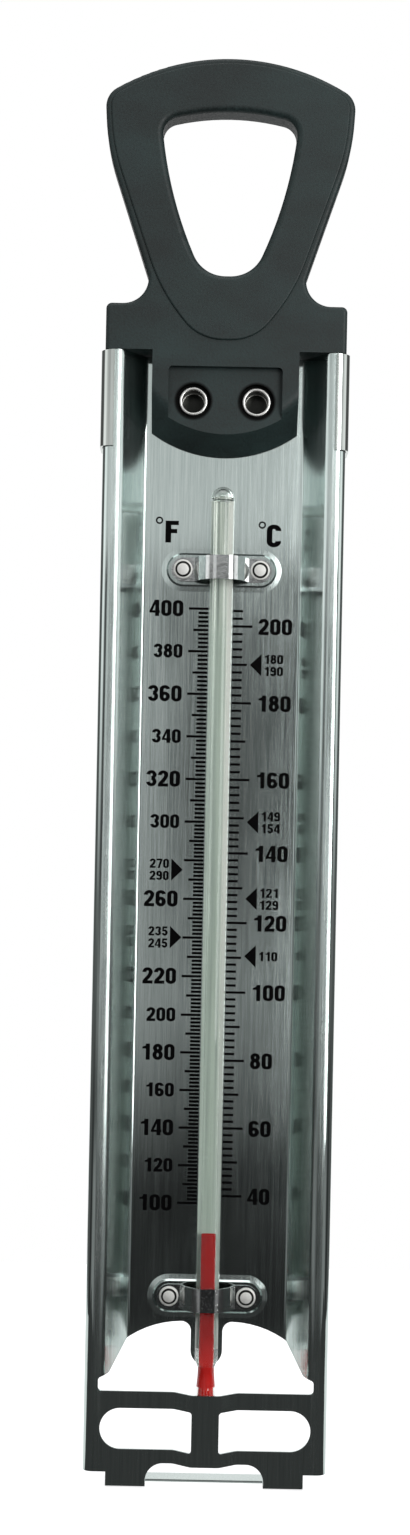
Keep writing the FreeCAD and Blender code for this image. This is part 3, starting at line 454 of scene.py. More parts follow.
def fired_enamel(name):
    """The milky enamel stripe fired into the back of the tube: grey-green and satin, drawn out with the glass
    into fine lengthwise lines, with a painted highlight towards its right edge."""
    material, tree = new_material(name)
    drawn = add_node(
        tree,
        "ShaderNodeTexNoise",
        {"Vector": place_in_mm(tree, (0.3, 0.3, 45)), "Scale": 1.0, "Detail": 3.0},
    )
    lines = add_node(tree, "ShaderNodeMapRange", {"Value": drawn, "From Min": 0.35, "From Max": 0.65})
    colour = add_node(
        tree, "ShaderNodeMix", {0: lines, 6: linear("#acb8b1"), 7: linear("#c9d4cb")}, data_type="RGBA"
    )
    # Above the upper strap the stripe runs out into separate streaks.
    place = add_node(tree, "ShaderNodeSeparateXYZ", {"Vector": place_in_mm(tree, (1, 1, 1))})
    streaks = add_node(
        tree, "ShaderNodeMix", {0: lines, 6: linear("#75827c"), 7: linear("#f2f7f0")}, data_type="RGBA"
    )
    running_out = add_node(
        tree,
        "ShaderNodeMapRange",
        {"Value": (place, "Z"), "From Min": STRIPE_RUNS_OUT[0], "From Max": STRIPE_RUNS_OUT[1]},
    )
    colour = add_node(
        tree, "ShaderNodeMix", {0: running_out, 6: (colour, 2), 7: (streaks, 2)}, data_type="RGBA"
    )
    # Its right edge is painted paler as a highlight, most of all in the upper half.
    right_edge = add_node(
        tree,
        "ShaderNodeMapRange",
        {"Value": (place, "X"), "From Min": STRIPE_RIGHT_EDGE[0], "From Max": STRIPE_RIGHT_EDGE[1]},
    )
    upper_half = add_node(
        tree,
        "ShaderNodeMapRange",
        {"Value": (place, "Z"), "From Min": STRIPE_HIGHLIGHT_HEIGHTS[0], "From Max": STRIPE_HIGHLIGHT_HEIGHTS[1]},
    )
    painted_highlight = add_node(tree, "ShaderNodeMath", {0: right_edge, 1: upper_half}, operation="MULTIPLY")
    colour = add_node(
        tree, "ShaderNodeMix", {0: painted_highlight, 6: (colour, 2), 7: linear("#eaece6")}, data_type="RGBA"
    )
    bump = add_node(tree, "ShaderNodeBump", {"Height": lines, "Strength": 1.0, "Distance": 0.01 * MM})
    enamel = add_node(
        tree,
        "ShaderNodeBsdfPrincipled",
        {"Base Color": (colour, 2), "Roughness": 0.35, "IOR": 1.6 / GLASS_IOR, "Normal": bump},
    )
    add_node(tree, "ShaderNodeOutputMaterial", {"Surface": enamel})
    return material


# The bulb and the neck, which have no enamel behind them, are painted brighter as the light that comes
# through them: heights in millimetres.
LIT_FROM_BEHIND = (32.0, 22.0)


def dyed_spirit(name):
    """Red-dyed spirit in a thin bore: deep, glossy, a little darker where the dye has settled."""
    material, tree = new_material(name)
    settling = add_node(
        tree,
        "ShaderNodeTexNoise",
        {"Vector": place_in_mm(tree, (1.5, 1.5, 7)), "Scale": 1.0, "Detail": 2.0},
    )
    colour = add_node(
        tree, "ShaderNodeMix", {0: settling, 6: linear("#8c0d0c"), 7: linear("#a61514")}, data_type="RGBA"
    )
    # Painted light: lower down, the spirit is painted brighter, as if lit from behind.
    height = add_node(tree, "ShaderNodeSeparateXYZ", {"Vector": place_in_mm(tree, (1, 1, 1))})
    painted_backlight = add_node(
        tree,
        "ShaderNodeMapRange",
        {"Value": (height, "Z"), "From Min": LIT_FROM_BEHIND[0], "From Max": LIT_FROM_BEHIND[1]},
    )
    colour = add_node(
        tree, "ShaderNodeMix", {0: painted_backlight, 6: (colour, 2), 7: linear("#cc2724")}, data_type="RGBA"
    )
    spirit = add_node(
        tree,
        "ShaderNodeBsdfPrincipled",
        {"Base Color": (colour, 2), "Roughness": 0.12, "IOR": GLASS_IOR / 1.36},
    )
    add_node(tree, "ShaderNodeOutputMaterial", {"Surface": spirit})
    return material


def screen_printed_ink(name):
    """Black epoxy ink, screen-printed and baked on the steel: a dense film whose soot-filled surface
    hardly shines, a little uneven from the screen."""
    material, tree = new_material(name)
    mesh_marks = add_node(
        tree,
        "ShaderNodeTexNoise",
        {"Vector": place_in_mm(tree, (0.25, 0.25, 0.25)), "Scale": 1.0, "Detail": 2.0},
    )
    colour = add_node(
        tree, "ShaderNodeMix", {0: mesh_marks, 6: linear("#020202"), 7: linear("#060607")}, data_type="RGBA"
    )
    roughness = add_node(
        tree,
        "ShaderNodeMapRange",
        {"Value": mesh_marks, "From Min": 0.3, "From Max": 0.7, "To Min": 0.3, "To Max": 0.42},
    )
    bump = add_node(tree, "ShaderNodeBump", {"Height": mesh_marks, "Strength": 1.0, "Distance": 0.006 * MM})
    ink = add_node(
        tree,
        "ShaderNodeBsdfPrincipled",
        {"Base Color": (colour, 2), "Roughness": roughness, "Specular IOR Level": 0.05, "Normal": bump},
    )
    add_node(tree, "ShaderNodeOutputMaterial", {"Surface": ink})
    return material


# ---------------------------------------------------------------- making pieces


def new_piece(name, mesh, material):
    """A named piece that rides with the paddle."""
    mesh.materials.clear()
    mesh.materials.append(material)
    piece = bpy.data.objects.new(name, mesh)
    bpy.context.scene.collection.objects.link(piece)
    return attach(piece, "root")


def mesh_from(name, bm, smooth_angle=None, hollow=()):
    """A mesh from a bmesh, its faces turned outwards, and those round a hollow into it, smooth except at
    edges sharper than the angle."""
    bmesh.ops.recalc_face_normals(bm, faces=bm.faces)
    bmesh.ops.reverse_faces(bm, faces=list(hollow))
    mesh = bpy.data.meshes.new(name)
    bm.to_mesh(mesh)
    bm.free()
    if smooth_angle is not None:
        mesh.shade_smooth()
        mesh.set_sharp_from_angle(angle=math.radians(smooth_angle))
    return mesh


# ---------------------------------------------------------------- the numerals

# A numeral is drawn in a box half as wide as it is high, in strokes of one thickness, and then widened
# a little, so that its upright strokes come out thicker than its level ones, as in bold condensed type.
STROKE = 0.195
BOX_WIDTH = 0.5
WIDENING = 1.28
GAP_BETWEEN = 0.08
LEFT_LINE, RIGHT_LINE = STROKE / 2, BOX_WIDTH - STROKE / 2
LOW_LINE, HIGH_LINE = STROKE / 2, 1 - STROKE / 2
MIDDLE = BOX_WIDTH / 2
BOWL = (RIGHT_LINE - LEFT_LINE) / 2


def arc(across, up, half_width, half_height, start, end, steps=14):
    """Points along an oval arc, between two angles in degrees, anticlockwise from the right."""
    points = []
    for i in range(steps + 1):
        turn = math.radians(start + (end - start) * i / steps)
        points.append((across + half_width * math.cos(turn), up + half_height * math.sin(turn)))
    return points


def stroke(points, closed=False):
    """The four-sided pieces that make up a line of the stroke's thickness through the points."""
    count = len(points)
    edges = []
    for i, (x, z) in enumerate(points):
        before = points[i - 1] if i or closed else points[0]
        after = points[(i + 1) % count] if i < count - 1 or closed else points[-1]
        run = Vector((after[0] - before[0], after[1] - before[1])).normalized() * STROKE / 2
        edges.append(((x - run.y, z + run.x), (x + run.y, z - run.x)))
    steps = range(count if closed else count - 1)
    pairs = [(edges[i], edges[(i + 1) % count]) for i in steps]
    return [(near[0], near[1], far[1], far[0]) for near, far in pairs]


def bar(left, low, right, high):
    """A straight level or upright stroke."""
    return [((left, low), (right, low), (right, high), (left, high))]


def zero_strokes():
    top = arc(MIDDLE, HIGH_LINE - BOWL, BOWL, BOWL, 0, 180)
    bottom = arc(MIDDLE, LOW_LINE + BOWL, BOWL, BOWL, 180, 360)
    return stroke(top + bottom, closed=True)


def two_strokes():
    over_the_top = arc(MIDDLE, 0.72, BOWL, HIGH_LINE - 0.72, 185, -20)
    down = [
        (RIGHT_LINE - 0.05, 0.54),
        (MIDDLE + 0.03, 0.4),
        (LEFT_LINE + 0.04, 0.22),
        (LEFT_LINE + 0.02, 0.1),
    ]
    return stroke(over_the_top + down) + bar(0.01, 0, BOX_WIDTH, STROKE)


def three_strokes():
    upper = arc(MIDDLE, 0.72, BOWL, HIGH_LINE - 0.72, 175, -90)
    lower = arc(MIDDLE, 0.3, BOWL, 0.3 - LOW_LINE, 90, -175)
    return stroke(upper) + stroke(lower)


def six_strokes():
    bowl = arc(MIDDLE, 0.3, BOWL, 0.3 - LOW_LINE, 0, 345, 28)
    over_the_top = arc(MIDDLE, HIGH_LINE - BOWL, BOWL, BOWL, 5, 180)
    return stroke(bowl, closed=True) + stroke(over_the_top + [(LEFT_LINE, 0.3)])


def eight_strokes():
    upper = arc(MIDDLE, 0.73, BOWL - 0.02, HIGH_LINE - 0.73, 0, 345, 28)
    lower = arc(MIDDLE, 0.31, BOWL, 0.31 - LOW_LINE, 0, 345, 28)
    return stroke(upper, closed=True) + stroke(lower, closed=True)


def letter_f_strokes():
    upright = bar(0.02, 0, 0.02 + STROKE, 1)
    return upright + bar(0.02, 1 - STROKE, 0.47, 1) + bar(0.02, 0.43, 0.42, 0.43 + STROKE)


def letter_c_strokes():
    top = arc(MIDDLE, HIGH_LINE - BOWL, BOWL, BOWL, -10, 180)
    bottom = arc(MIDDLE, LOW_LINE + BOWL, BOWL, BOWL, 180, 370)
    return stroke(top + bottom)


SIGNS = {
    "0": zero_strokes(),
    "1": bar(0.24, 0, 0.24 + STROKE, 1)
    + [((0.07, 0.69), (0.25, 0.69), (0.25, 1), (0.22, 0.87), (0.07, 0.81))],
    "2": two_strokes(),
    "3": three_strokes(),
    "4": bar(0.27, 0, 0.27 + STROKE, 1) + bar(0, 0.2, BOX_WIDTH, 0.2 + 0.14)
    + [((0, 0.33), (0.14, 0.33), (0.28, 0.74), (0.28, 1), (0.25, 1))],
    "5": bar(0.06, 1 - STROKE, 0.47, 1) + [((0.03, 0.45), (0.18, 0.45), (0.2, 1), (0.06, 1))]
    + stroke(arc(MIDDLE, 0.33, BOWL, 0.33 - LOW_LINE, 130, -170, 24)),
    "6": six_strokes(),
    "7": bar(0, 1 - STROKE, BOX_WIDTH, 1) + [((0.1, 0), (0.28, 0), (0.5, 0.84), (0.32, 0.84))],
    "8": eight_strokes(),
    "9": [tuple((BOX_WIDTH - x, 1 - z) for x, z in piece) for piece in six_strokes()],
    "F": letter_f_strokes(),
    "C": letter_c_strokes(),
}


# ---------------------------------------------------------------- the printed scale

INK_FILM = 0.03 * MM
INK_GAP = 0.002 * MM
INK_BACK = FACE - INK_GAP
INK_FRONT = INK_BACK - INK_FILM
TICK_HALF = 0.26 * MM
TICK_START = 2.65 * MM
TICK_ENDS = {"minor": 4.8 * MM, "ten": 5.85 * MM, "twenty": 6.9 * MM}

# Heights of the hundreds on the Fahrenheit side; the spirit's expansion makes the spacing uneven.
FAHRENHEIT_HEIGHTS = {100: 59.7, 200: 100.3, 300: 142.0, 400: 188.0}


def fahrenheit_height(degrees):
    """Height of a Fahrenheit reading on the face, evenly spaced between the hundreds."""
    below = min(300, max(100, degrees // 100 * 100))
    low, high = FAHRENHEIT_HEIGHTS[below], FAHRENHEIT_HEIGHTS[below + 100]
    return (low + (high - low) * (degrees - below) / 100) * MM


def celsius_height(degrees):
    """Height of a Celsius reading on the face."""
    return fahrenheit_height(degrees * 1.8 + 32)


def add_ink_block(bm, outline):
    """A thin block of ink whose front view is the outline, given as (x, z) pairs."""
    back = [bm.verts.new((x, INK_BACK, z)) for x, z in outline]
    front = [bm.verts.new((x, INK_FRONT, z)) for x, z in outline]
    bm.faces.new(back)
    bm.faces.new(front)
    for i in range(len(outline)):
        j = (i + 1) % len(outline)
        bm.faces.new((back[i], back[j], front[j], front[i]))


def tick_kind(degrees):
    """Which of the three lengths a tick has."""
    if degrees % 20 == 0:
        return "twenty"
    return "ten" if degrees % 10 == 0 else "minor"


def scale_ticks(ink):
    """The tick marks, every 2 degrees: from 100 to 400 F on the left, and from 40 to 204 C on the right."""
    bm = bmesh.new()
    rows = [(-1, fahrenheit_height(d), tick_kind(d)) for d in range(100, 401, 2)]
    rows += [(1, celsius_height(d), tick_kind(d)) for d in range(40, 205, 2)]
    for side, z, kind in rows:
        near, far = side * TICK_START, side * TICK_ENDS[kind]
        low, high = z - TICK_HALF, z + TICK_HALF
        add_ink_block(bm, [(near, low), (far, low), (far, high), (near, high)])
    new_piece("scale_ticks", mesh_from("scale_ticks", bm), ink)


def add_print(bm, text, height, x, z, align, widening=WIDENING):
    """Adds a line of ink text of a real height, centred on z, with its left or right edge at x."""
    advance = (BOX_WIDTH * widening + GAP_BETWEEN) * height
    left = x if align == "left" else x - advance * len(text) + GAP_BETWEEN * height
    for place, sign in enumerate(text):
        points, faces = [], []
        for piece in SIGNS[sign]:
            corners = [Vector(corner) for corner in piece]
            faces.append([len(points) + i for i in range(len(corners))])
            points += corners if turns_left(corners) else corners[::-1]
        # The pieces of a numeral overlap, so they are merged into one flat outline first.
        spots, _, merged, _, _, sources = delaunay_2d_cdt(points, [], faces, 1, 1e-6)
        origin = left + place * advance
        outline = [(origin + p.x * widening * height, z + (p.y - 0.5) * height) for p in spots]
        add_ink_shape(bm, outline, [face for face, source in zip(merged, sources) if source])


def turns_left(corners):
    """Whether a flat outline runs anticlockwise."""
    return sum(a.cross(b) for a, b in zip(corners, corners[1:] + corners[:1])) > 0


def add_ink_shape(bm, outline, faces):
    """A film of ink whose front view is made of flat faces between the points of the outline."""
    back = [bm.verts.new((x, INK_BACK, z)) for x, z in outline]
    flat = [bm.faces.new([back[i] for i in face]) for face in faces]
    bmesh.ops.delete(bm, geom=[v for v in back if not v.link_faces], context="VERTS")
    raised = bmesh.ops.extrude_face_region(bm, geom=flat, use_keep_orig=True)
    for part in raised["geom"]:
        if isinstance(part, bmesh.types.BMVert):
            part.co.y = INK_FRONT


LARGE, SMALL, RANGE_PRINT = 3.5 * MM, 3.0 * MM, 2.0 * MM
FAHRENHEIT_EDGE, CELSIUS_EDGE = -8.1 * MM, 8.2 * MM
FAHRENHEIT_NUMERALS = {
    LARGE: (400, 360, 320, 260, 220, 180, 140, 100),
    SMALL: (380, 340, 300, 200, 160, 120),
}


def scale_numbers(ink):
    """The numerals beside the twenties."""
    bm = bmesh.new()
    for height, numbers in FAHRENHEIT_NUMERALS.items():
        for number in numbers:
            add_print(bm, str(number), height, FAHRENHEIT_EDGE, fahrenheit_height(number), "right")
    for number in range(40, 201, 20):
        add_print(bm, str(number), LARGE, CELSIUS_EDGE, celsius_height(number), "left")
    new_piece("scale_numbers", mesh_from("scale_numbers", bm), ink)


def add_degree_ring(bm, x, z, outer, inner, count=24):
    """Adds the small ring of ink that stands for degrees, centred on x and z."""
    loops = []
    for radius, y in ((outer, INK_BACK), (outer, INK_FRONT), (inner, INK_FRONT), (inner, INK_BACK)):
        turns = [2 * math.pi * i / count for i in range(count)]
        loops.append([bm.verts.new((x + radius * math.cos(t), y, z + radius * math.sin(t))) for t in turns])
    for a, b in zip(loops, loops[1:] + loops[:1]):
        for i in range(count):
            j = (i + 1) % count
            bm.faces.new((a[i], a[j], b[j], b[i]))


# In millimetres: each unit letter's height, its left edge and the height of its middle, and then how much
# it is widened; and the middles and radii of the degree rings.
UNIT_LETTERS = (("F", 4.7, -12.4, 204.5, 1.35), ("C", 4.9, 9.6, 204.0, 1.27))
DEGREE_RINGS = ((-13.6, 206.9), (8.6, 206.3))
RING_OUTER, RING_INNER = 0.8 * MM, 0.46 * MM


def unit_signs(ink):
    """The degree rings and unit letters above the two sides."""
    bm = bmesh.new()
    for letter, height, x, z, widening in UNIT_LETTERS:
        add_print(bm, letter, height * MM, x * MM, z * MM, "left", widening)
    for x, z in DEGREE_RINGS:
        add_degree_ring(bm, x * MM, z * MM, RING_OUTER, RING_INNER)
    new_piece("unit_signs", mesh_from("unit_signs", bm), ink)


def zone_marks(ink):
    """Pointers at the cooking temperatures, each with a plain range of numbers beside it."""
    bm = bmesh.new()
    length, half = 2.5 * MM, 2.4 * MM
    right_tip, left_tip = 6.5 * MM, 7.1 * MM
    gap, half_row = 0.5 * MM, 1.3 * MM
    right = ((190, ("180", "190")), (149, ("149", "154")), (127, ("121", "129")), (110.5, ("110",)))
    left = ((275, ("270", "290")), (240, ("235", "245")))
    rows = [(1, right_tip, celsius_height(d), lines) for d, lines in right]
    rows += [(-1, left_tip, fahrenheit_height(d), lines) for d, lines in left]
    for side, tip, z, lines in rows:
        base = side * (tip + length)
        add_ink_block(bm, [(side * tip, z), (base, z - half), (base, z + half)])
        for i, text in enumerate(lines):
            row = z + (len(lines) - 1 - 2 * i) * half_row
            edge = side * (tip + length + gap)
            add_print(bm, text, RANGE_PRINT, edge, row, "left" if side > 0 else "right")
    new_piece("zone_marks", mesh_from("zone_marks", bm), ink)


# ---------------------------------------------------------------- the tube and what is in it


def add_ring(bm, half_width, half_depth, z, count):
    """An oval of points round the tube's axis; one point if it has no width."""
    if half_width == 0:
        return [bm.verts.new((0, TUBE_AXIS, z))]
    points = []
    for i in range(count):
        turn = 2 * math.pi * i / count
        x, y = half_width * math.cos(turn), TUBE_AXIS + half_depth * math.sin(turn)
        points.append(bm.verts.new((x, y, z)))
    return points


def add_shell(bm, rings, count=96):
    """Adds a closed shell through oval rings, given as (half width, half depth, height). Gives its faces."""
    made = [add_ring(bm, half_width, half_depth, z, count) for half_width, half_depth, z in rings]
    faces = []
    for low, high in zip(made, made[1:]):
        for i in range(count):
            j = (i + 1) % count
            if len(low) == 1:
                faces.append(bm.faces.new((low[0], high[j], high[i])))
            elif len(high) == 1:
                faces.append(bm.faces.new((low[i], low[j], high[0])))
            else:
                faces.append(bm.faces.new((low[i], low[j], high[j], high[i])))
    return faces


def dome(radius, centre, rising, steps=12):
    """The rings of a half sphere, from its tip to its rim if rising, else from rim to tip."""
    rings = []
    for i in range(steps + 1):
        turn = math.pi / 2 * i / steps
        half = radius * math.sin(turn)
        rings.append((half, half, centre - radius * math.cos(turn)))
    rings[0] = (0, 0, rings[0][2])
    if rising:
        return rings
    return [(a, b, 2 * centre - z) for a, b, z in reversed(rings)]


def eased(low, high, steps=8):
    """The rings of a smooth swell between two rings."""
    rings = []
    for i in range(1, steps):
        share = i / steps
        ease = share * share * (3 - 2 * share)
        height = low[2] + (high[2] - low[2]) * share
        rings.append(tuple(a + (b - a) * ease for a, b in zip(low[:2], high[:2])) + (height,))
    return rings


# The real tube's front is a lens, which makes the column look wider than a round front does. This tube is
# round, so its bore and its column are wider by this factor.
LENS_WIDENING = 1.09

# The bulb and the neck above it: their radii, and how far above the tip the bulb ends, the neck is
# thinnest and the stem has its full width.
BULB_RADIUS, NECK_RADIUS = 2.15 * MM, 1.75 * MM
BULB_END, NECK_WAIST, STEM_FOOT = 9.1 * MM, 15.4 * MM, 17.6 * MM
WALL = 0.35 * MM
BORE_HALF_WIDTH, BORE_HALF_DEPTH = 1.05 * MM * LENS_WIDENING, 0.2 * MM


def tube_of_glass(glass):
    """The sealed tube: its outside, the flat bore with the bulb's cavity, and a small hollow in its end."""
    bm = bmesh.new()
    tip = TUBE_LOW.z
    stem = (TUBE_HIGH.x - TUBE_LOW.x) / 2
    bulb_ring = (BULB_RADIUS, BULB_RADIUS, tip + BULB_END)
    neck_ring = (NECK_RADIUS, NECK_RADIUS, tip + NECK_WAIST)
    stem_ring = (stem, stem, tip + STEM_FOOT)
    outside = dome(BULB_RADIUS, tip + BULB_RADIUS, True) + [bulb_ring]
    outside += eased(bulb_ring, neck_ring) + [neck_ring]
    outside += eased(neck_ring, stem_ring, 6) + [stem_ring]
    outside += dome(stem, TUBE_HIGH.z - stem, False)
    add_shell(bm, outside)
    # The cavity in the bulb narrows to a throat, and goes over into the flat bore where the column starts.
    cavity = BULB_RADIUS - WALL
    throat = NECK_RADIUS - WALL
    cavity_ring = (cavity, cavity, bulb_ring[2])
    throat_ring = (throat, throat, neck_ring[2] - 1.5 * MM)
    bore_ring = (BORE_HALF_WIDTH, BORE_HALF_DEPTH, COLUMN_LOW.z)
    bore_top = BACKING_TOP
    inside = dome(cavity, tip + WALL + cavity, True) + [cavity_ring]
    inside += eased(cavity_ring, throat_ring) + [throat_ring] + eased(throat_ring, bore_ring, 4)
    inside += [bore_ring, (BORE_HALF_WIDTH, BORE_HALF_DEPTH, bore_top - 0.4 * MM)]
    inside += [(0.5 * MM, 0.1 * MM, bore_top - 0.1 * MM), (0, 0, bore_top)]
    hollow = add_shell(bm, inside, 48)
    # A small hollow is left above the bore, where the end was drawn shut.
    chamber = stem - 0.8 * MM
    chamber_floor = bore_top + 0.2 * MM
    sealed_end = [(0, 0, chamber_floor), (chamber * 0.8, chamber * 0.8, chamber_floor)]
    sealed_end += dome(chamber, TUBE_HIGH.z - stem + 0.1 * MM, False)
    hollow += add_shell(bm, sealed_end, 48)
    mesh = mesh_from("glass_tube_drawn", bm, 40, hollow)
    piece = new_piece("glass_tube_drawn", mesh, glass)
    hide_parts("glass_tube")


# The rounded top of the column: millimetres below its highest point, and the share of its full size.
COLUMN_CROWN = ((0.35, 1.0), (0.2, 0.96), (0.08, 0.82), (0.02, 0.55))


def spirit_column(spirit):
    """The column in the flat bore, with a rounded top."""
    bm = bmesh.new()
    half_width = (COLUMN_HIGH.x - COLUMN_LOW.x) / 2 * LENS_WIDENING
    half_depth = (COLUMN_HIGH.y - COLUMN_LOW.y) / 2
    top = COLUMN_HIGH.z
    rings = [(0, 0, COLUMN_LOW.z), (half_width, half_depth, COLUMN_LOW.z)]
    for drop, share in COLUMN_CROWN:
        rings.append((half_width * share, half_depth * share, top - drop * MM))
    rings.append((0, 0, top))
    add_shell(bm, rings, 32)
    mesh = mesh_from("spirit_column", bm, 50)
    mesh.materials.append(spirit)
    piece = bpy.data.objects.new("spirit_column", mesh)
    bpy.context.scene.collection.objects.link(piece)
    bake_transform(piece)
    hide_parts("liquid_column")


# ---------------------------------------------------------------- the studio


# Over which depth (y, in millimetres) the painted shade that metal mirrors in the floor gives way to white.
FLOOR_SHADE = (-5.0, -1.5)


def white_floor():
    """A pale floor under the feet, which shows white and keeps the object's shadow. Metal mirrors white in
    the part behind the feet, and painted shade in the part in front."""
    bm = bmesh.new()
    near, far, side, height = -0.15, 0.25, 0.2, -0.2 * MM
    corners = [(-side, near), (side, near), (side, far), (-side, far)]
    bm.faces.new([bm.verts.new((x, y, height)) for x, y in corners])
    mesh = bpy.data.meshes.new("floor")
    bm.to_mesh(mesh)
    bm.free()
    material, tree = new_material("pale_floor")
    rays = add_node(tree, "ShaderNodeLightPath")
    place = add_node(tree, "ShaderNodeSeparateXYZ", {"Vector": place_in_mm(tree, (1, 1, 1))})
    behind = add_node(
        tree,
        "ShaderNodeMapRange",
        {"Value": (place, "Y"), "From Min": FLOOR_SHADE[0], "From Max": FLOOR_SHADE[1]},
    )
    direct = add_node(
        tree,
        "ShaderNodeMath",
        {0: (rays, "Is Camera Ray"), 1: (rays, "Is Transmission Ray")},
        operation="MAXIMUM",
    )
    paper = add_node(tree, "ShaderNodeBsdfDiffuse", {"Color": linear("#e7e7e7")})
    shown = add_node(tree, "ShaderNodeEmission", {"Color": level(0.75), "Strength": direct})
    both = add_node(tree, "ShaderNodeAddShader", {0: paper, 1: shown})
    # Mirrored rays see painted shade in front of the feet and white behind them.
    mirrored = add_node(tree, "ShaderNodeMix", {0: behind, 6: level(0.05), 7: level(1.0)}, data_type="RGBA")
    mirrored = add_node(tree, "ShaderNodeEmission", {"Color": (mirrored, 2)})
    both = add_node(tree, "ShaderNodeMixShader", {0: (rays, "Is Glossy Ray"), 1: both, 2: mirrored})
    add_node(tree, "ShaderNodeOutputMaterial", {"Surface": both})
    mesh.materials.append(material)
    floor = bpy.data.objects.new("floor", mesh)
    bpy.context.scene.collection.objects.link(floor)


# What a shiny surface sees of the studio, by the sine of the height angle: straight in front of the
# scale, at the two sides, and on a tall white card that stands to the left of the camera.
STUDIO_FRONT = (
    (-0.27, 0.06),
    (-0.24, 0.05),
    (-0.2, 0.02),
    (-0.141, 0.015),
    (-0.112, 0.06),
    (-0.084, 0.17),
    (-0.055, 0.24),
    (-0.026, 0.16),
    (0.002, 0.08),
    (0.031, 0.085),
    (0.089, 0.1),
    (0.145, 0.12),
    (0.154, 0.78),
    (0.173, 0.68),
    (0.2, 0.66),
    (0.25, 0.5),
    (0.9, 0.3),
)
STUDIO_SIDES = (
    (-0.2, 0.03),
    (-0.104, 0.05),
    (-0.013, 0.2),
    (0.04, 0.6),
    (0.09, 1.0),
    (0.168, 1.25),
    (0.5, 0.8),
    (0.9, 0.4),
)
STUDIO_CARD = (
    (-0.2, 0.02),
    (-0.13, 0.04),
    (-0.08, 0.4),
    (0.03, 0.75),
    (0.078, 0.8),
    (0.168, 0.8),
    (0.5, 0.6),
    (0.9, 0.4),
)


def by_sine(levels):
    """Stops of a ramp that runs from straight down to straight up, from pairs of a sine and a level."""
    return [(0.5 + 0.5 * sine, level(amount)) for sine, amount in levels]


